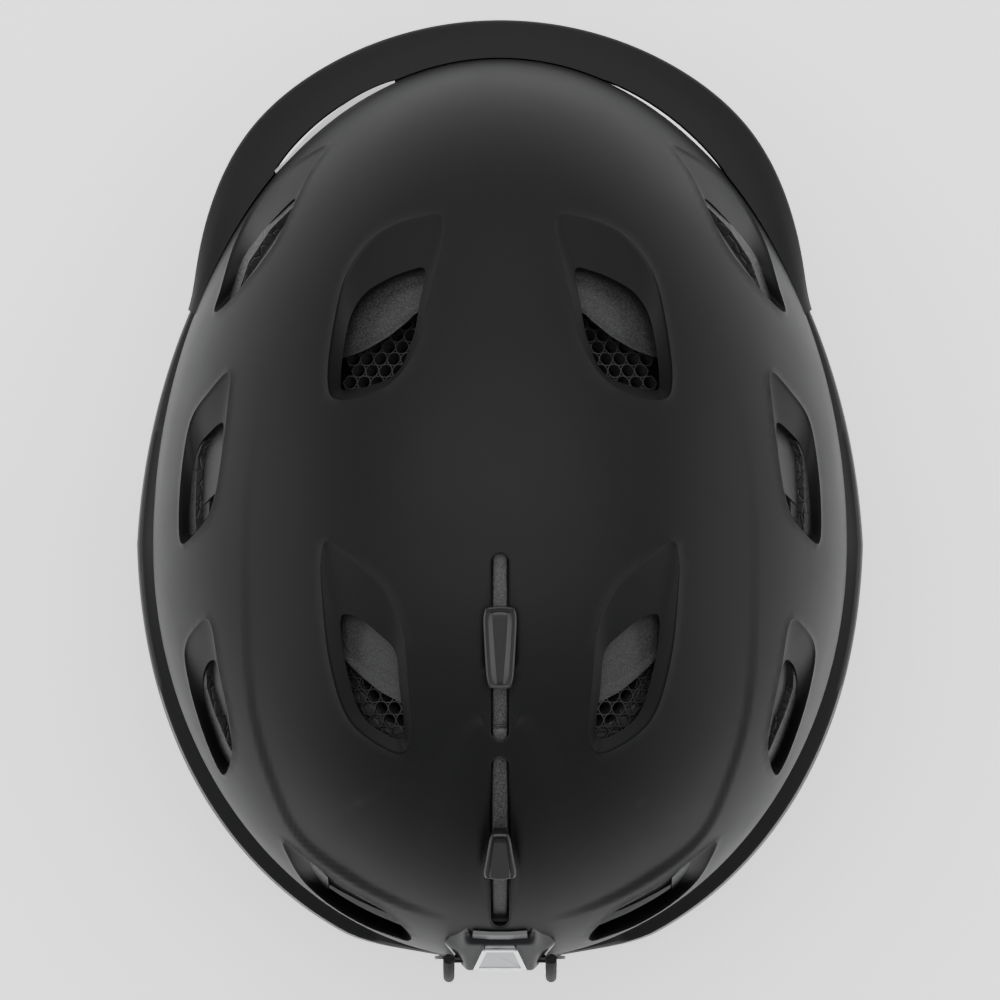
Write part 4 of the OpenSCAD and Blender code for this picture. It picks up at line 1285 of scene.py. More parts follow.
@dataclass
class SidePanels:
    """The fixed grained panels that close the front part of each side vent, over its screen."""

    thickness: float = 1.0
    sink: float = 5.6
    edges: dict[str, tuple[Point2, Point2]] = field(
        default_factory=lambda: {
            "side_front": ((90.4, -3.4), (84.7, 2.2)), "side_rear": (((85.5, -66.5)), (81.1, -63.6)),
        }
    )

    def build(self) -> None:
        """A panel in each side vent."""
        finish = SHUTTER.build()
        for vent in VENTS:
            if vent.name not in self.edges:
                continue
            low, high = self.edges[vent.name]
            for side in Side:
                front = max(pair[1][1] for pair in vent.pairs) + 4
                ends = [DOME.flat_sunk(side.value * x, y, self.sink) for x, y in (low, high)]
                head = [
                    DOME.flat_sunk(side.value * (x + dx), front, self.sink)
                    for (x, _), dx in ((low, 3), (high, -3))
                ]
                outer = [ends[0] + (ends[0] - ends[1]) * 0.8, head[0]]
                inner = [ends[1] + (ends[1] - ends[0]) * 0.8, head[1]]

                def place(u: float, v: float) -> Vector:
                    a, b = outer[0].lerp(outer[1], v), inner[0].lerp(inner[1], v)
                    spot = a.lerp(b, u)
                    return Vector(DOME.lift(np.array([[spot.x, spot.y, -self.sink]]))[0])

                bm = swept(10, 24, place)
                if sum(f.normal.z for f in bm.faces) < 0:
                    bmesh.ops.reverse_faces(bm, faces=bm.faces)
                made = piece(f"{vent.name}_panel_{side.word}", bm, finish, "helmet", "shutter")
                wall = made.modifiers.new("wall", "SOLIDIFY")
                wall.thickness = self.thickness * MM
                wall.offset = -1


@dataclass
class AccentInlay:
    """The pale lens-shaped inlay that bridges the left brim and the shell's edge."""

    start: float = 77.2
    end: float = 59.0
    width: float = 3.5

    def build(self) -> bpy.types.Object:
        """The inlay."""

        def place(u: float, v: float) -> Vector:
            azimuth = 180 - mix(self.start, self.end, u)
            swell = (math.sin(math.pi * min(1.0, 0.06 + 0.94 * u)) ** 0.7) * mix(1.25, 0.62, u)
            half = self.width / 2 * max(0.04, swell)
            radius = float(DOME.plan_radius(np.array(math.radians(azimuth)))) - 0.7 + 0.5 * u
            crest = math.sin(math.pi * v)
            reach = radius + mix(-half, half, v)
            angle = math.radians(azimuth)
            height = 108.6 + 0.7 * crest - 1.6 * u
            return Vector((reach * math.cos(angle), DOME.mid_y + reach * math.sin(angle), height))

        bm = swept(60, 8, place)
        if sum(f.normal.z for f in bm.faces) < 0:
            bmesh.ops.reverse_faces(bm, faces=bm.faces)
        made = piece("accent_inlay", bm, ACCENT.build(), "helmet", "accent", ["accent_plate"])
        wall = made.modifiers.new("wall", "SOLIDIFY")
        wall.thickness = 0.9 * MM
        wall.offset = -1
        return made


# ---------------------------------------------------------------- goggle clip


@dataclass
class GoggleClip:
    """The goggle clip at the rear edge, its plate, and the two elastic cords that hold it."""

    tilt: float = 32.0
    length: float = 26.0
    widths: tuple[float, float, float] = (17.5, 33.0, 22.0)
    cord_x: float = 15.4
    cord_radius: float = 1.7
    cord_path: tuple[Point2, ...] = (
        (-137.4, 133.2), (-139, 130), (-140.7, 125), (-142, 118), (-143, 108), (-143.6, 98), (-143.7, 88),
        (-143.4, 78), (-142.4, 70), (-140.6, 65.5), (-137.4, 63.4), (-133.6, 63),
    )

    def face(self) -> Matrix:
        """Frame of the clip's face, in millimetres: Y runs up it and Z out of it."""
        return Matrix.Translation((0, -141, 131.5)) @ Matrix.Rotation(math.radians(90 - self.tilt), 4, "X")

    def placed(self) -> Matrix:
        """From the face's millimetres to the helmet's metres, without mirroring."""
        return Matrix.Scale(MM, 4) @ self.face() @ Matrix.Scale(1 / MM, 4)

    def plate_shape(
        self, bm: bmesh.types.BMesh, outline: Sequence[Point2], low: float, high: float
    ) -> list[bmesh.types.BMFace]:
        """Adds a prism with this outline to a mesh, and returns its top."""
        ring = bmesh.ops.create_circle(bm, cap_ends=True, segments=len(outline), radius=1)["verts"]
        for vert, (x, y) in zip(ring, outline):
            vert.co = Vector((x, y, low))
        floor = list({f for v in ring for f in v.link_faces if all(o in ring for o in f.verts)})
        geom = bmesh.ops.extrude_face_region(bm, geom=floor)["geom"]
        bmesh.ops.translate(bm, verts=[v for v in geom if isinstance(v, bmesh.types.BMVert)], vec=(0, 0, high - low))
        return [f for f in geom if isinstance(f, bmesh.types.BMFace)]

    def body(self) -> None:
        """The clip's moulding, with a finger scoop at its top and chamfered flanks."""
        top, middle, foot = (w / 2 for w in self.widths)

        def place(a: float, b: float, c: float) -> Vector:
            y = mix(-1.6, self.length, (b + 1) / 2)
            widths = (
                (-1.6, foot + 0.9), (-0.4, foot + 1.9), (8.1, middle), (9.3, middle - 0.2),
                (self.length - 1.5, top + 0.8), (self.length, top - 0.8),
            )
            half = along(widths, y)
            x = a * half
            flank = 3.4 * ease((abs(x) - 9.2) / max(1.0, half - 9.2)) ** 1.3
            scoop = 2.8 * ease((y - 14.2) / 6) * (1 - ease((abs(x) - 8) / 3)) * (1 - 0.5 * ease((y - 23) / 3))
            edge = 0.9 * max(0.0, max(abs(a), abs(b)) - 0.93) / 0.07
            front = -0.4 - flank - scoop - edge
            back = -6.4 + 1.4 * ease((y - 16) / 10) + 0.4 * edge
            return Vector((x, y, mix(back, front, c)))

        bm, _ = slab(44, 40, place, 0.0, 4)
        bmesh.ops.transform(bm, matrix=self.placed(), verts=bm.verts)
        finish = MouldedPlastic("clip_plastic", (0.008, 0.008, 0.009), 0.3, 0.35, 0.008, 0.08, specular=0.22)
        piece("goggle_clip_moulding", bm, finish.build(), "goggle_clip_body", "clip", ["goggle_clip"], 38)

    def plate(self) -> None:
        """The bright plate: a raised rim round a grey field."""
        rim = ((-8.2, 1.0), (8.2, 1.0), (5.0, 13.8), (-5.0, 13.8))
        bm = bmesh.new()
        self.plate_shape(bm, rim, -0.6, 0.75)
        bmesh.ops.bevel(bm, geom=[e for e in bm.edges if abs(e.calc_length() - 1.35) < 0.05], offset=1.0,
                        segments=4, profile=0.5, affect="EDGES", material=-1, offset_type="OFFSET")
        face = [max(bm.faces, key=lambda f: f.calc_center_median().z)]
        bmesh.ops.inset_region(bm, faces=face, thickness=0.35, depth=0.25)
        bmesh.ops.inset_region(bm, faces=face, thickness=0.85, depth=0.0)
        bmesh.ops.inset_region(bm, faces=face, thickness=0.25, depth=-0.55)
        bmesh.ops.transform(bm, matrix=Matrix.Scale(MM, 4) @ self.face(), verts=bm.verts)
        bright = Metal("bright_rim", (0.86, 0.87, 0.88), 0.2).build()
        field_finish = Metal("brushed_field", (0.42, 0.43, 0.44), 0.42).build()
        field_face = face[0]
        field_face.material_index = 1
        made = piece("goggle_clip_badge", bm, bright, "goggle_clip_body", "clip_plate", ["goggle_clip_plate"], 20)
        made.data.materials.append(field_finish)

    def cords(self) -> None:
        """The braided elastic cords."""
        finish = Woven("braided_cord", (0.009, 0.009, 0.0095), 70, 6, 0.2).build()
        for side in Side:
            path = [Vector((side.value * self.cord_x, p.x, p.y)) for p in rounded_path(self.cord_path, 3)]
            bm = tube(path, self.cord_radius, 12)
            made = piece(f"goggle_cord_{side.word}", bm, finish, "helmet", "cord",
                         ["goggle_cord"] if side is Side.LEFT else (), 60)
            run = sum((b - a).length for a, b in zip(path, path[1:]))

    def build(self) -> None:
        """Every piece of the clip."""
        self.cords()
        self.body()
        self.plate()


# ---------------------------------------------------------------- straps and buckle


EAR_DOME = DOME.inset(8)
STRAP_DOME = EAR_DOME.inset(16.3)
CAVITY = Dome(79.5, 119, 95.5, 92)


def ribbon(steps: int, place: Place3, thickness: float) -> bmesh.types.BMesh:
    """A flat woven strap with round edges.

    Args:
        steps: Faces along it.
        place: Point in millimetres for a share along, a place across from -1 to 1, and millimetres up.
        thickness: Its thickness in millimetres.

    Returns:
        The mesh, in metres.
    """

    def round_place(u: float, v: float) -> Sequence[float]:
        turn = math.tau * v
        across = math.copysign(abs(math.cos(turn)) ** 0.3, math.cos(turn))
        up = math.copysign(abs(math.sin(turn)) ** 0.7, math.sin(turn)) * thickness / 2
        return place(u, across, up)

    return swept(steps, 32, round_place, wrap_rows=True, caps=True)


@dataclass
class Straps:
    """The yokes, their dividers, the side webbing, its keeper and the padded sleeve's webbing."""

    width: float = 20.0
    thickness: float = 1.6
    middle_y: float = 4.0
    divider: Point2 = (13.0, 22.0)
    anchors: tuple[Point2, ...] = ((34, 92), (-30, 72))
    stand: float = 6.0
    run: tuple[Point2, ...] = (
        (71.2, 13.8), (71.2, 9.6), (70.4, 6), (68.8, 3.4), (66, 1.9), (62.6, 1.9), (59, 3.6), (55, 6.6),
        (50.6, 9), (46, 9.6), (41, 8.4), (36, 6), (32, 3.9), (28, 3.05),
    )

    def leg(self, anchor: Point2, side: Side) -> bmesh.types.BMesh:
        """One leg of a yoke, from its anchor down to the divider."""
        azimuth, height = anchor
        front = azimuth > self.divider[0]

        def place(u: float, across: float, up: float) -> Vector:
            reach = across * 5.2
            angle = mix(azimuth, self.divider[0] + (3 if front else -4), u) + reach / 1.6
            level = mix(height, self.divider[1] + 5, u) + reach * (-0.5 if front else 0.5)
            depth = mix(self.stand, 0, ease(u)) + self.thickness / 2 + up
            spot = STRAP_DOME.inset(depth).at(angle, level)
            return Vector((side.value * spot.x, spot.y, spot.z))

        return ribbon(24, place, self.thickness)

    def yokes(self, finish: bpy.types.Material) -> None:
        """Both yokes' legs, and the moulded dividers that join them to the side webbing."""
        hard = MouldedPlastic("divider_plastic", (0.018, 0.018, 0.018), 0.36, 0.3, 0.008).build()
        for side in Side:
            for word, anchor in zip(("front", "rear"), self.anchors):
                piece(f"strap_yoke_{word}_{side.word}", self.leg(anchor, side), finish, "helmet", "webbing",
                      [f"strap_yoke_{side.word}"] if word == "front" else (), 60)

            def place(a: float, b: float, c: float) -> Vector:
                edge = max(abs(a), abs(b))
                rim = 0.7 * ease((edge - 0.55) * 6) - 0.9 * max(0.0, edge - 0.9) / 0.1
                depth = mix(0.2, 3.4 + rim, c)
                spot = STRAP_DOME.inset(depth).at(self.divider[0] + 8 * a, self.divider[1] - 3.2 + 4.6 * b)
                return Vector((side.value * spot.x, spot.y, spot.z))

            bm, _ = slab(26, 14, place, 0.5, 3)
            piece(f"strap_divider_plate_{side.word}", bm, hard, "helmet", "anchor", [f"strap_divider_{side.word}"])

    def flat_run(self, path: Sequence[Vector], side: Side) -> bmesh.types.BMesh:
        """Webbing that follows a path of (distance from the middle, height)."""
        count = len(path) - 1

        def place(u: float, across: float, up: float) -> Vector:
            i = min(count, round(u * count))
            run = (path[min(count, i + 1)] - path[max(0, i - 1)]).normalized()
            out = Vector((run.y, -run.x))
            spot = path[i] + out * up
            return Vector((side.value * spot.x, self.middle_y + across * self.width / 2, spot.y))

        return ribbon(count, place, self.thickness)

    def keeper(self) -> None:
        """The sliding loop that holds the spare webbing down."""
        place_at = Matrix.Translation((-34.6, self.middle_y, 5.2)) @ Matrix.Rotation(math.radians(28), 4, "Y")

        def place(u: float, v: float) -> Vector:
            turn, ring = math.tau * u, math.tau * v
            y = math.copysign(abs(math.cos(turn)) ** 0.32, math.cos(turn))
            z = math.copysign(abs(math.sin(turn)) ** 0.5, math.sin(turn))
            out = 0.75 * math.cos(ring)
            along_x = 2.0 * math.copysign(abs(math.sin(ring)) ** 0.6, math.sin(ring))
            return place_at @ Vector((along_x, y * (11.1 + out), z * (2.2 + out)))

        bm = swept(56, 16, place, wrap_columns=True, wrap_rows=True)
        finish = MouldedPlastic("keeper_rubber", (0.016, 0.016, 0.016), 0.55, 0.4, 0.01)
        piece("strap_keeper_loop", bm, finish.build(), "helmet", "anchor", ["strap_keeper"], 50)

    def build(self) -> None:
        """Every strap."""
        narrow = Woven("yoke_webbing", (0.02, 0.02, 0.021), 56, 12).build()
        wide = Woven("chin_webbing", (0.02, 0.02, 0.021), 64, 22).build()
        self.yokes(narrow)
        for side in Side:
            ends = [*self.run, (14.2, 3.05)] if side is Side.RIGHT else list(self.run)
            path = rounded_path(ends, 5)
            piece(f"chin_webbing_{side.word}", self.flat_run(path, side), wide, "helmet", "webbing",
                  [f"chin_strap_{side.word}"], 60)
        loose = rounded_path([(14.2, 3.05), (18, 3.05), (22, 3.05), (27.8, 3.05)], 6)
        piece("plug_webbing_run", self.flat_run(loose, Side.LEFT), wide, "buckle_plug_body", "webbing",
              ["plug_webbing"], 60)
        self.keeper()


@dataclass
class Buckle:
    """The magnetic side-slide buckle: a socket, a plug with its tongue, and the pull tab."""

    middle_y: float = 4.0
    half_width: float = 12.0
    low: float = 0.4
    high: float = 8.4

    def shell(self, x0: float, x1: float, name: str, node: str, body: str, finish: bpy.types.Material) -> None:
        """Half of the buckle: a rounded moulding with a sunk grip field.

        Args:
            x0: Its end nearest the other half.
            x1: Its end towards the webbing.
            name: The piece's name.
            node: The CAD node that it replaces.
            body: The body that it rides on.
            finish: Its material.
        """

        def place(a: float, b: float, c: float) -> Vector:
            outer = ease((b - 0.1) / 0.9)
            x = mix(x0, x1, (b + 1) / 2) - math.copysign(0.9, x1 - x0) * outer * abs(a) ** 3
            y = self.middle_y + a * (self.half_width - 1.8 * outer**2)
            edge = max(0.0, max(abs(a), abs(b)) - 0.9) / 0.1
            field_share = ease((0.72 - abs(a)) * 8) * ease((0.62 - abs(b)) * 7)
            ribs = 0.35 * (0.5 + 0.5 * math.cos(b * math.pi * 9))
            top = self.high - 0.9 * edge**2 - 2.4 * outer - field_share * (0.9 - ribs)
            return Vector((x, y, mix(self.low + 0.5 * edge**2, top, c)))

        bm, _ = slab(34, 44, place, 0.0, 4)
        piece(name, bm, finish, body, "buckle", [node], 40)

    def tongue(self, finish: bpy.types.Material) -> None:
        """The plug's flat tongue, which runs in the socket."""

        def place(a: float, b: float, c: float) -> Vector:
            x = mix(-1.5, 7.8, (b + 1) / 2)
            taper = 1 - 0.14 * ease((b - 0.2) / 0.8)
            return Vector((x, self.middle_y + 1.0 + a * 9.4 * taper, mix(3.1, 4.9, c)))

        bm, _ = slab(16, 10, place, 0.25, 2)
        piece("buckle_tongue", bm, finish, "buckle_plug_body", "buckle")

    def pull_tab(self) -> None:
        """The ribbed tab that slides the plug sideways."""

        def place(a: float, b: float, c: float) -> Vector:
            y = mix(15.2, 29.8, (b + 1) / 2)
            wave = 0.22 * math.cos(b * math.pi * 7) * ease((0.8 - abs(a)) * 6) * ease((b + 0.5) * 3)
            half = mix(4.9, 4.0, ease((b + 1) / 2))
            return Vector((-11 + a * half, y, mix(2.3 - wave, 3.5 + wave, c)))

        bm, _ = slab(14, 48, place, 0.35, 2)
        finish = MouldedPlastic("pull_tab_rubber", (0.34, 0.012, 0.012), 0.5, 0.4, 0.012, 0.08)
        piece("pull_tab_ribbed", bm, finish.build(), "buckle_plug_body", "pull_tab", ["buckle_pull_tab"], 50)

    def build(self) -> None:
        """Every piece of the buckle."""
        finish = MouldedPlastic("buckle_plastic", (0.014, 0.014, 0.015), 0.34, 0.35, 0.008, 0.07).build()
        self.shell(0.4, 22, "buckle_socket_moulding", "buckle_socket", "helmet", finish)
        self.shell(0, -22, "buckle_plug_moulding", "buckle_plug", "buckle_plug_body", finish)
        self.tongue(finish)
        self.pull_tab()


# ---------------------------------------------------------------- fit dial and ear grilles


@dataclass
class FitDial:
    """The knurled dial at the nape, with a dished face and the shaft that turns the pinion."""

    height: float = 24.0
    face_y: float = -98.0
    depth: float = 9.0
    radius: float = 14.0
    grips: int = 18

    def profile(self, share: float) -> Point2:
        """Radius and depth along the dial's outline, from the back's middle to the face's middle."""
        stops = ((0, 0, 0), (0.12, 13.3, 0), (0.15, 13.9, 0.5), (0.4, 14, 4), (0.62, 13.9, 8), (0.67, 13.2, 8.8),
                 (0.72, 11.6, 9), (0.75, 10.9, 8.6), (0.78, 10.4, 7.9), (0.84, 8, 7.7), (0.87, 7.2, 8.0), (1, 0, 8.3))
        places, radii, depths = zip(*stops)
        return float(np.interp(share, places, radii)), float(np.interp(share, places, depths))

    def build(self) -> None:
        """The dial and its shaft."""

        def place(u: float, v: float) -> Vector:
            radius, deep = self.profile(v)
            turn = math.tau * u
            notch = ease(math.cos(turn * self.grips) * 2.2 - 1.1) * 1.3 * ease((radius - 12.6) / 1.2)
            radius -= notch * ease((deep - 1.2) / 1.2)
            return Vector((radius * math.sin(turn), self.face_y - deep, self.height + radius * math.cos(turn)))

        bm = swept(216, 60, place, wrap_columns=True)
        weld(bm, 2e-5)
        finish = MouldedPlastic("dial_rubber", (0.013, 0.013, 0.014), 0.5, 0.35, 0.014, 0.08).build()
        piece("fit_dial_knob", bm, finish, "fit_dial_body", "dial", ["fit_dial"], 32)
        shaft = tube([Vector((0, y, self.height)) for y in (-97.9, -96, -94, -92, -90.2)], 2.4, 32)
        piece("fit_dial_shaft", shaft, finish, "fit_dial_body", "dial", (), 40)


@dataclass
class EarGrilles:
    """The round perforated plates on the ear pads, each with a rounded rim."""

    height: float = 36.0
    radius: float = 15.0
    pitch: float = 2.9
    lean: float = 97.3

    def build(self) -> None:
        """A grille on each side."""
        finish = MouldedPlastic("grille_plastic", (0.03, 0.03, 0.032), 0.38, 0.35, 0.008).build()
        for side in Side:
            bm = bmesh.new()
            reach = int(self.radius / self.pitch) + 2
            row = self.pitch * math.sqrt(3) / 2
            for i in range(-reach, reach + 1):
                for j in range(-reach, reach + 1):
                    spot = Vector(((i + (j % 2) / 2) * self.pitch, j * row, 1.2))
                    if spot.xy.length < self.radius - 2.4:
                        turned = Matrix.Translation(spot) @ Matrix.Rotation(math.pi / 6, 4, "Z")
                        bmesh.ops.create_circle(
                            bm, cap_ends=True, segments=6, radius=self.pitch / math.sqrt(3), matrix=turned
                        )
            bmesh.ops.remove_doubles(bm, verts=bm.verts, dist=0.02)
            cells = bm.faces[:]
            bmesh.ops.inset_individual(bm, faces=cells, thickness=0.42)
            bmesh.ops.delete(bm, geom=cells, context="FACES")
            bmesh.ops.solidify(bm, geom=bm.faces[:], thickness=0.9)

            def ring(u: float, v: float) -> Vector:
                turn, around = math.tau * u, math.tau * v
                width = 1.35 * math.copysign(abs(math.cos(around)) ** 0.7, math.cos(around))
                rise = 0.75 * math.copysign(abs(math.sin(around)) ** 0.7, math.sin(around))
                out = self.radius - 1.4 + width
                return Vector((out * math.cos(turn), out * math.sin(turn), 0.78 + rise)) / MM

            rim = swept(72, 16, ring, wrap_columns=True, wrap_rows=True)
            spare = bpy.data.meshes.new("rim")
            rim.to_mesh(spare)
            rim.free()
            bm.from_mesh(spare)
            bpy.data.meshes.remove(spare)
            spot = EAR_DOME.at(0, self.height) + Vector((0.05, 0, 0))
            lean = Matrix.Rotation(math.radians(self.lean), 4, "Y")
            place = Matrix.Scale(MM, 4) @ Matrix.Translation(spot) @ lean
            bmesh.ops.transform(bm, matrix=place, verts=bm.verts)
            if side is Side.LEFT:
                bmesh.ops.scale(bm, vec=(-1, 1, 1), verts=bm.verts)
            bmesh.ops.recalc_face_normals(bm, faces=bm.faces)
            piece(f"ear_grille_plate_{side.word}", bm, finish, "helmet", "trim", [f"ear_grille_{side.word}"], 30)


# ---------------------------------------------------------------- padding


@dataclass
class Cushion:
    """A stuffed cloth pad: its seams are held while pressure fills the cloth between them."""

    name: str
    nodes: tuple[str, ...]
    place: Place3
    columns: int
    rows: int
    corner: float = 0.5
    seams: tuple[float, ...] = ()
    pocket: float = 0.0
    edge: float = 0.45
    free_back: bool = False
    cap: float = 1.4
    slot: str = "padding"
    fill: float = 0.6
    held: list[int] = field(default_factory=list)
    made: bpy.types.Object | None = None

    def rise(self, a: float, b: float) -> float:
        """Share of the pad's full thickness at a place on it."""
        rise = self.edge + (1 - self.edge) * ease((1 - max(abs(a), abs(b))) * 3.4)
        for seam in self.seams:
            rise *= mix(0.55, 1, ease(abs(a - seam) * self.columns / 5))
        return rise * (1 - self.pocket * ease((0.66 - math.hypot(a, b)) * 3.2))

    def sewn(self, a: float, b: float, c: float) -> bool:
        """True where the cloth is held by a seam or rests on the foam."""
        near = max(abs(a), abs(b)) > 0.999
        resting = c < 0.01 and not self.free_back
        return near or resting or any(abs(a - s) < 1.2 / self.columns for s in self.seams)

    def build(self, finish: bpy.types.Material) -> None:
        """The pad before its cloth is blown up."""

        def shaped(a: float, b: float, c: float) -> Sequence[float]:
            tuck = 0.2 * (1 - ease((1 - max(abs(a), abs(b))) * 3.4)) if self.free_back else 0.0
            return self.place(a, b, mix(tuck, self.rise(a, b), c))

        bm, shares = slab(self.columns, self.rows, shaped, self.corner, 2)
        self.held = [i for i, (a, b, c) in enumerate(shares) if self.sewn(a, b, c)]
        self.made = piece(self.name, bm, finish, "helmet", self.slot, self.nodes, 50)


@dataclass
class Padding:
    """Every comfort pad, the chin sleeve and the two ear pads."""

    pressure: float = 4.0
    frames: int = 20

    @staticmethod
    def on_cavity(azimuths: Point2, heights: Point2, side: Side = Side.RIGHT) -> Place3:
        """Where a pad on the foam's inner face lies.

        Args:
            azimuths: Its first and last azimuth, in degrees.
            heights: Its lowest and highest height, in millimetres.
            side: The half that it lies on.
        """

        def place(a: float, b: float, c: float) -> Vector:
            azimuth = mix(*azimuths, (a + 1) / 2)
            spot = CAVITY.inset(mix(0.5, 5.6, c)).at(azimuth, mix(*heights, (b + 1) / 2))
            return Vector((side.value * spot.x, spot.y, spot.z))

        return place

    @staticmethod
    def on_crown(a: float, b: float, c: float) -> Vector:
        """Where the crown pad lies."""
        reach = 25.6
        azimuth = math.atan2(b, a)
        latitude = 90 - reach * min(1.0, math.hypot(a, b))
        inner = CAVITY.inset(mix(0.5, 5.6, c))
        return Vector(inner.surface(np.array([azimuth]), np.array([latitude]), 0.0)[0])

    @staticmethod
    def at_nape(a: float, b: float, c: float) -> Vector:
        """Where the nape pad lies, inside the racks."""
        azimuth = math.radians(mix(246, 294, (a + 1) / 2))
        radius = mix(74.3, 70.3, c)
        height = mix(11.2, 36.8, (b + 1) / 2)
        return Vector((radius * math.cos(azimuth), DOME.mid_y + radius * math.sin(azimuth), height))

    @staticmethod
    def chin_sleeve(a: float, b: float, c: float) -> Vector:
        """Where the sleeve round the chin webbing lies."""
        low = ((37.6, 8.3), (41, 9.6), (46, 10.8), (51, 10.2), (55.6, 7.8), (58.8, 5.9))
        high = ((38.2, 12.2), (42, 14.4), (47, 15.2), (52, 14.2), (56, 11.8), (60.2, 7.8))
        share = (a + 1) / 2 * (len(low) - 1)
        shares = range(len(low))
        ends = [[float(np.interp(share, shares, [p[k] for p in line])) for k in (0, 1)] for line in (low, high)]
        x, z = (mix(ends[0][k], ends[1][k], c) for k in (0, 1))
        return Vector((x, 4 + 12.9 * b, z))

    @staticmethod
    def on_ear(side: Side) -> Place3:
        """Where one ear pad lies: wide at its top, narrower and round at its foot."""

        def place(a: float, b: float, c: float) -> Vector:
            down, across = (1 - b) / 2, (a + 1) / 2
            shrink = down**3
            azimuth = mix(mix(-38, -30, shrink), mix(30, 14, shrink), across)
            height = mix(rim_height(azimuth) - 2, 0.2, down)
            spot = EAR_DOME.inset(mix(0.2, 15.8, c)).at(azimuth, height)
            return Vector((side.value * spot.x, spot.y, spot.z))

        return place

    def cushions(self) -> list[Cushion]:
        """The pads to make."""
        made = [
            Cushion("crown_cushion", ("crown_pad",), self.on_crown, 34, 34, 1.0, (-0.36, 0.36)),
            Cushion("brow_cushion", ("brow_pad",), self.on_cavity((48, 132), (103, 126)), 56, 10, 0.3,
                    (-0.5, 0.0, 0.5)),
            Cushion("nape_cushion", ("nape_pad",), self.at_nape, 26, 12, 0.3, (0.0,), cap=0.8),
            Cushion("chin_sleeve", ("chin_pad",), self.chin_sleeve, 14, 16, 0.25, (), cap=0.8, edge=0.6),
        ]
        for side in Side:
            first = side is Side.LEFT
            made += [
                Cushion(f"side_cushion_{side.word}", ("side_pads",) if first else (),
                        self.on_cavity((-24, 30), (92, 116), side), 32, 12, 0.4, (0.0,)),
                Cushion(f"rear_cushion_{side.word}", ("rear_pads",) if first else (),
                        self.on_cavity((-77, -38), (78, 104), side), 26, 13, 0.4, (0.0,)),
                Cushion(f"ear_cushion_{side.word}", (f"ear_pad_{side.word}",), self.on_ear(side), 30, 26, 0.35,
                        pocket=0.42, edge=0.5, free_back=True, slot="ear_fabric", fill=0.5, cap=1.6),
            ]
        return made

    def blow_up(self, pads: Sequence[Cushion]) -> None:
        """Fills every pad at once by cloth simulation, and caps how far each point moves."""
        for pad in pads:
            group = pad.made.vertex_groups.new(name="sewn")
            group.add(pad.held, 1.0, "REPLACE")
            cloth = pad.made.modifiers.new("cloth", "CLOTH")
            cloth.settings.use_pressure = True
            cloth.settings.uniform_pressure_force = self.pressure
            cloth.settings.effector_weights.gravity = 0
            cloth.settings.vertex_group_mass = group.name
            cloth.collision_settings.use_self_collision = False
        scene = bpy.context.scene
        for at in range(1, self.frames + 1):
            scene.frame_set(at)
        scene_now = bpy.context.evaluated_depsgraph_get()
        blown = [[v.co.copy() for v in pad.made.evaluated_get(scene_now).data.vertices] for pad in pads]
        for pad, places in zip(pads, blown):
            pad.made.modifiers.remove(pad.made.modifiers["cloth"])
            furthest = 0.0
            for vert, target in zip(pad.made.data.vertices, places):
                move = target - vert.co
                furthest = max(furthest, move.length / MM)
                if move.length > pad.cap * MM:
                    move *= pad.cap * MM / move.length
                vert.co += move
            LOG.info("%s: cloth moved up to %.2f mm, capped at %.1f", pad.name, furthest, pad.cap)
        scene.frame_set(1)

    def piping(self, side: Side, finish: bpy.types.Material) -> None:
        """The corded seam round an ear pad's inner edge."""
        place = self.on_ear(side)
        loop = []
        for step in range(97):
            turn = math.tau * step / 96
            a, b = math.cos(turn), math.sin(turn)
            square = max(abs(a), abs(b))
            a, b = a / square, b / square
            across, up = a * math.sqrt(1 - 0.35 * b * b / 2), b * math.sqrt(1 - 0.35 * a * a / 2)
            loop.append(place(across * 1.005, up * 1.0, 0.49))
        piece(f"ear_piping_{side.word}", tube(loop, 0.95, 10), finish, "helmet", "ear_fabric", (), 60)

    def build(self) -> None:
        """Every pad, filled."""
        lining = Knit("brushed_lining", (0.032, 0.032, 0.034)).build()
        ear = Knit("ear_knit", (0.024, 0.024, 0.026), 1.4, 0.2).build()
        edging = Woven("ear_edging", (0.02, 0.02, 0.02), 90, 5, 0.15).build()
        pads = self.cushions()
        for pad in pads:
            pad.build(ear if pad.slot == "ear_fabric" else lining)
        self.blow_up(pads)
        for pad in pads:
            smooth = pad.made.modifiers.new("smooth", "SUBSURF")
            smooth.levels = smooth.render_levels = 1
        for side in Side:
            self.piping(side, edging)


# ---------------------------------------------------------------- CAD nodes that keep their shape


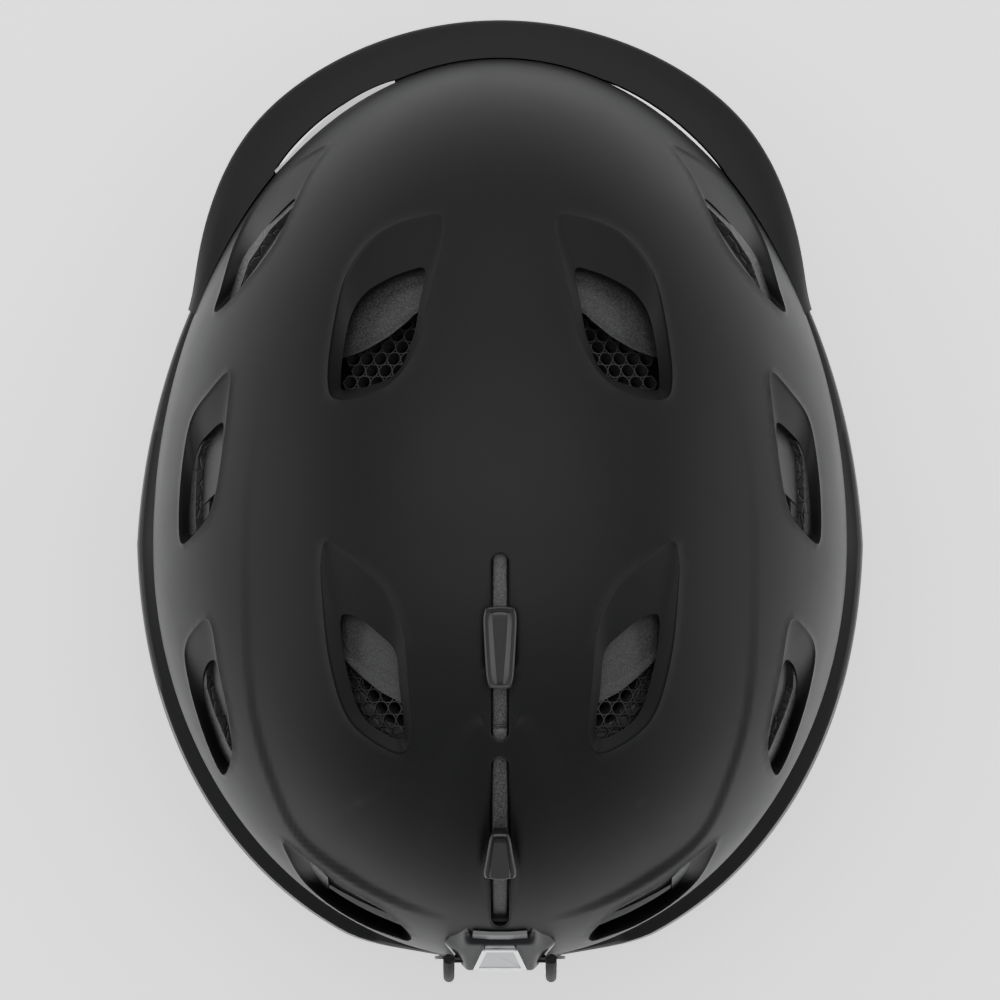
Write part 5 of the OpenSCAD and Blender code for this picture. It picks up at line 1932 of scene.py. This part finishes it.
@dataclass
class KeptNodes:
    """The CAD nodes whose own shape is shown, and the finish of each."""

    def finishes(self) -> dict[str, tuple[str, ...]]:
        """Nodes for each finish's name."""
        return {
            "foam": ("eps_liner",),
            "fit": ("halo_band", "dial_housing", "dial_cover", "cradle_hanger", "ear_pad_rail_left",
                    "ear_pad_rail_right", "goggle_clip_seat", "cord_grommets"),
            "gear": ("rack_left", "rack_right", "dial_pinion"),
            "steel": ("strap_anchors",),
            "dark_steel": ("clip_pin",),
            "magnet": ("buckle_magnets",),
        }

    def dress(self) -> None:
        """Gives each kept node its finish."""
        made = {
            "foam": BeadFoam("bead_foam", (0.012, 0.012, 0.0125)).build(),
            "fit": MouldedPlastic("fit_plastic", (0.022, 0.022, 0.024), 0.42, 0.4, 0.01, 0.08).build(),
            "gear": MouldedPlastic("gear_plastic", (0.11, 0.11, 0.112), 0.4, 0.4, 0.008, 0.06).build(),
            "steel": Metal("brushed_steel", (0.52, 0.52, 0.53), 0.32).build(),
            "dark_steel": Metal("blackened_steel", (0.02, 0.02, 0.021), 0.4).build(),
            "magnet": Metal("plated_magnet", (0.68, 0.68, 0.68), 0.16).build(),
        }
        for finish, nodes in self.finishes().items():
            for node in nodes:
                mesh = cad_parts[node].data
                mesh.materials.clear()
                mesh.materials.append(made[finish])
                LOG.info("%s keeps its shape, in %s", node, made[finish].name)


# ---------------------------------------------------------------- stage


@dataclass(frozen=True)
class Lamp:
    """A soft rectangular light that looks at the helmet."""

    name: str
    place: tuple[float, float, float]
    size: Point2
    watts: float

    def build(self) -> bpy.types.Object:
        """The light."""
        light = bpy.data.lights.new(self.name, "AREA")
        light.shape = "RECTANGLE"
        light.size, light.size_y = self.size
        light.energy = self.watts
        lamp = bpy.data.objects.new(self.name, light)
        lamp.location = self.place
        lamp.rotation_euler = (Vector((0, 0, 0.1)) - lamp.location).to_track_quat("-Z", "Y").to_euler()
        bpy.context.scene.collection.objects.link(lamp)
        return lamp


@dataclass
class Studio:
    """The pale floor, the soft lights and the camera, which looks straight down."""

    height: float = 6.12
    lens: float = 720.0
    lamps: tuple[Lamp, ...] = (
        Lamp("sky_light", (0, 0.3, 2.2), (2.4, 1.6), 54),
        Lamp("front_light", (0, 1.5, 1.2), (1.4, 0.5), 10),
        Lamp("left_light", (-1.5, -0.1, 0.5), (1.4, 0.35), 11),
        Lamp("right_light", (1.5, -0.1, 0.5), (1.4, 0.35), 11),
    )

    def camera(self) -> bpy.types.Object:
        """The camera, with the brim towards the top of its view."""
        view = bpy.data.cameras.new("overhead")
        view.lens = self.lens
        view.sensor_width = 36
        view.clip_end = 50
        camera = bpy.data.objects.new("overhead", view)
        camera.location = (0, 0, self.height)
        bpy.context.scene.collection.objects.link(camera)
        bpy.context.scene.camera = camera
        return camera

    def floor(self) -> bpy.types.Object:
        """A wide pale floor."""
        bm = bmesh.new()
        bmesh.ops.create_grid(bm, x_segments=8, y_segments=8, size=6)
        mesh = bpy.data.meshes.new("floor")
        bm.to_mesh(mesh)
        bm.free()
        nodes = Nodes("pale_floor")
        grain = nodes.noise(3, 2)
        nodes.tint(grain, (0.9, 0.9, 0.9), (0.93, 0.93, 0.93))
        nodes.shader.inputs["Roughness"].default_value = 0.9
        nodes.shader.inputs["Emission Color"].default_value = (1, 1, 1, 1)
        nodes.shader.inputs["Emission Strength"].default_value = 0.7
        mesh.materials.append(nodes.material)
        made = bpy.data.objects.new("floor", mesh)
        bpy.context.scene.collection.objects.link(made)
        made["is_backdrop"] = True
        return made

    def build(self) -> None:
        """Sets the camera, the floor, the lights and a pale surround."""
        self.camera()
        self.floor()
        for lamp in self.lamps:
            lamp.build()
        world = bpy.data.worlds.new("surround")
        world.use_nodes = True
        world.node_tree.nodes["Background"].inputs["Color"].default_value = (0.95, 0.97, 1, 1)
        world.node_tree.nodes["Background"].inputs["Strength"].default_value = 0.5
        bpy.context.scene.world = world


def main() -> None:
    """Builds the helmet's pieces in order, and works out how far they reach."""
    logging.basicConfig(level=logging.INFO, format="%(name)s: %(message)s")
    Studio().build()
    UpperShell().build()
    LowerShell().build()
    Brim().build()
    AccentInlay().build()
    HoneycombScreens().build()
    SidePanels().build()
    for control in vent_controls():
        control.build()
    GoggleClip().build()
    EarGrilles().build()
    Straps().build()
    Buckle().build()
    FitDial().build()
    Padding().build()
    KeptNodes().dress()
    sizes = {"cad": CAD_BOX, "visual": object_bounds()}
    {k: [list(corner) for corner in v] for k, v in sizes.items()}


if __name__ == "__main__":
    main()
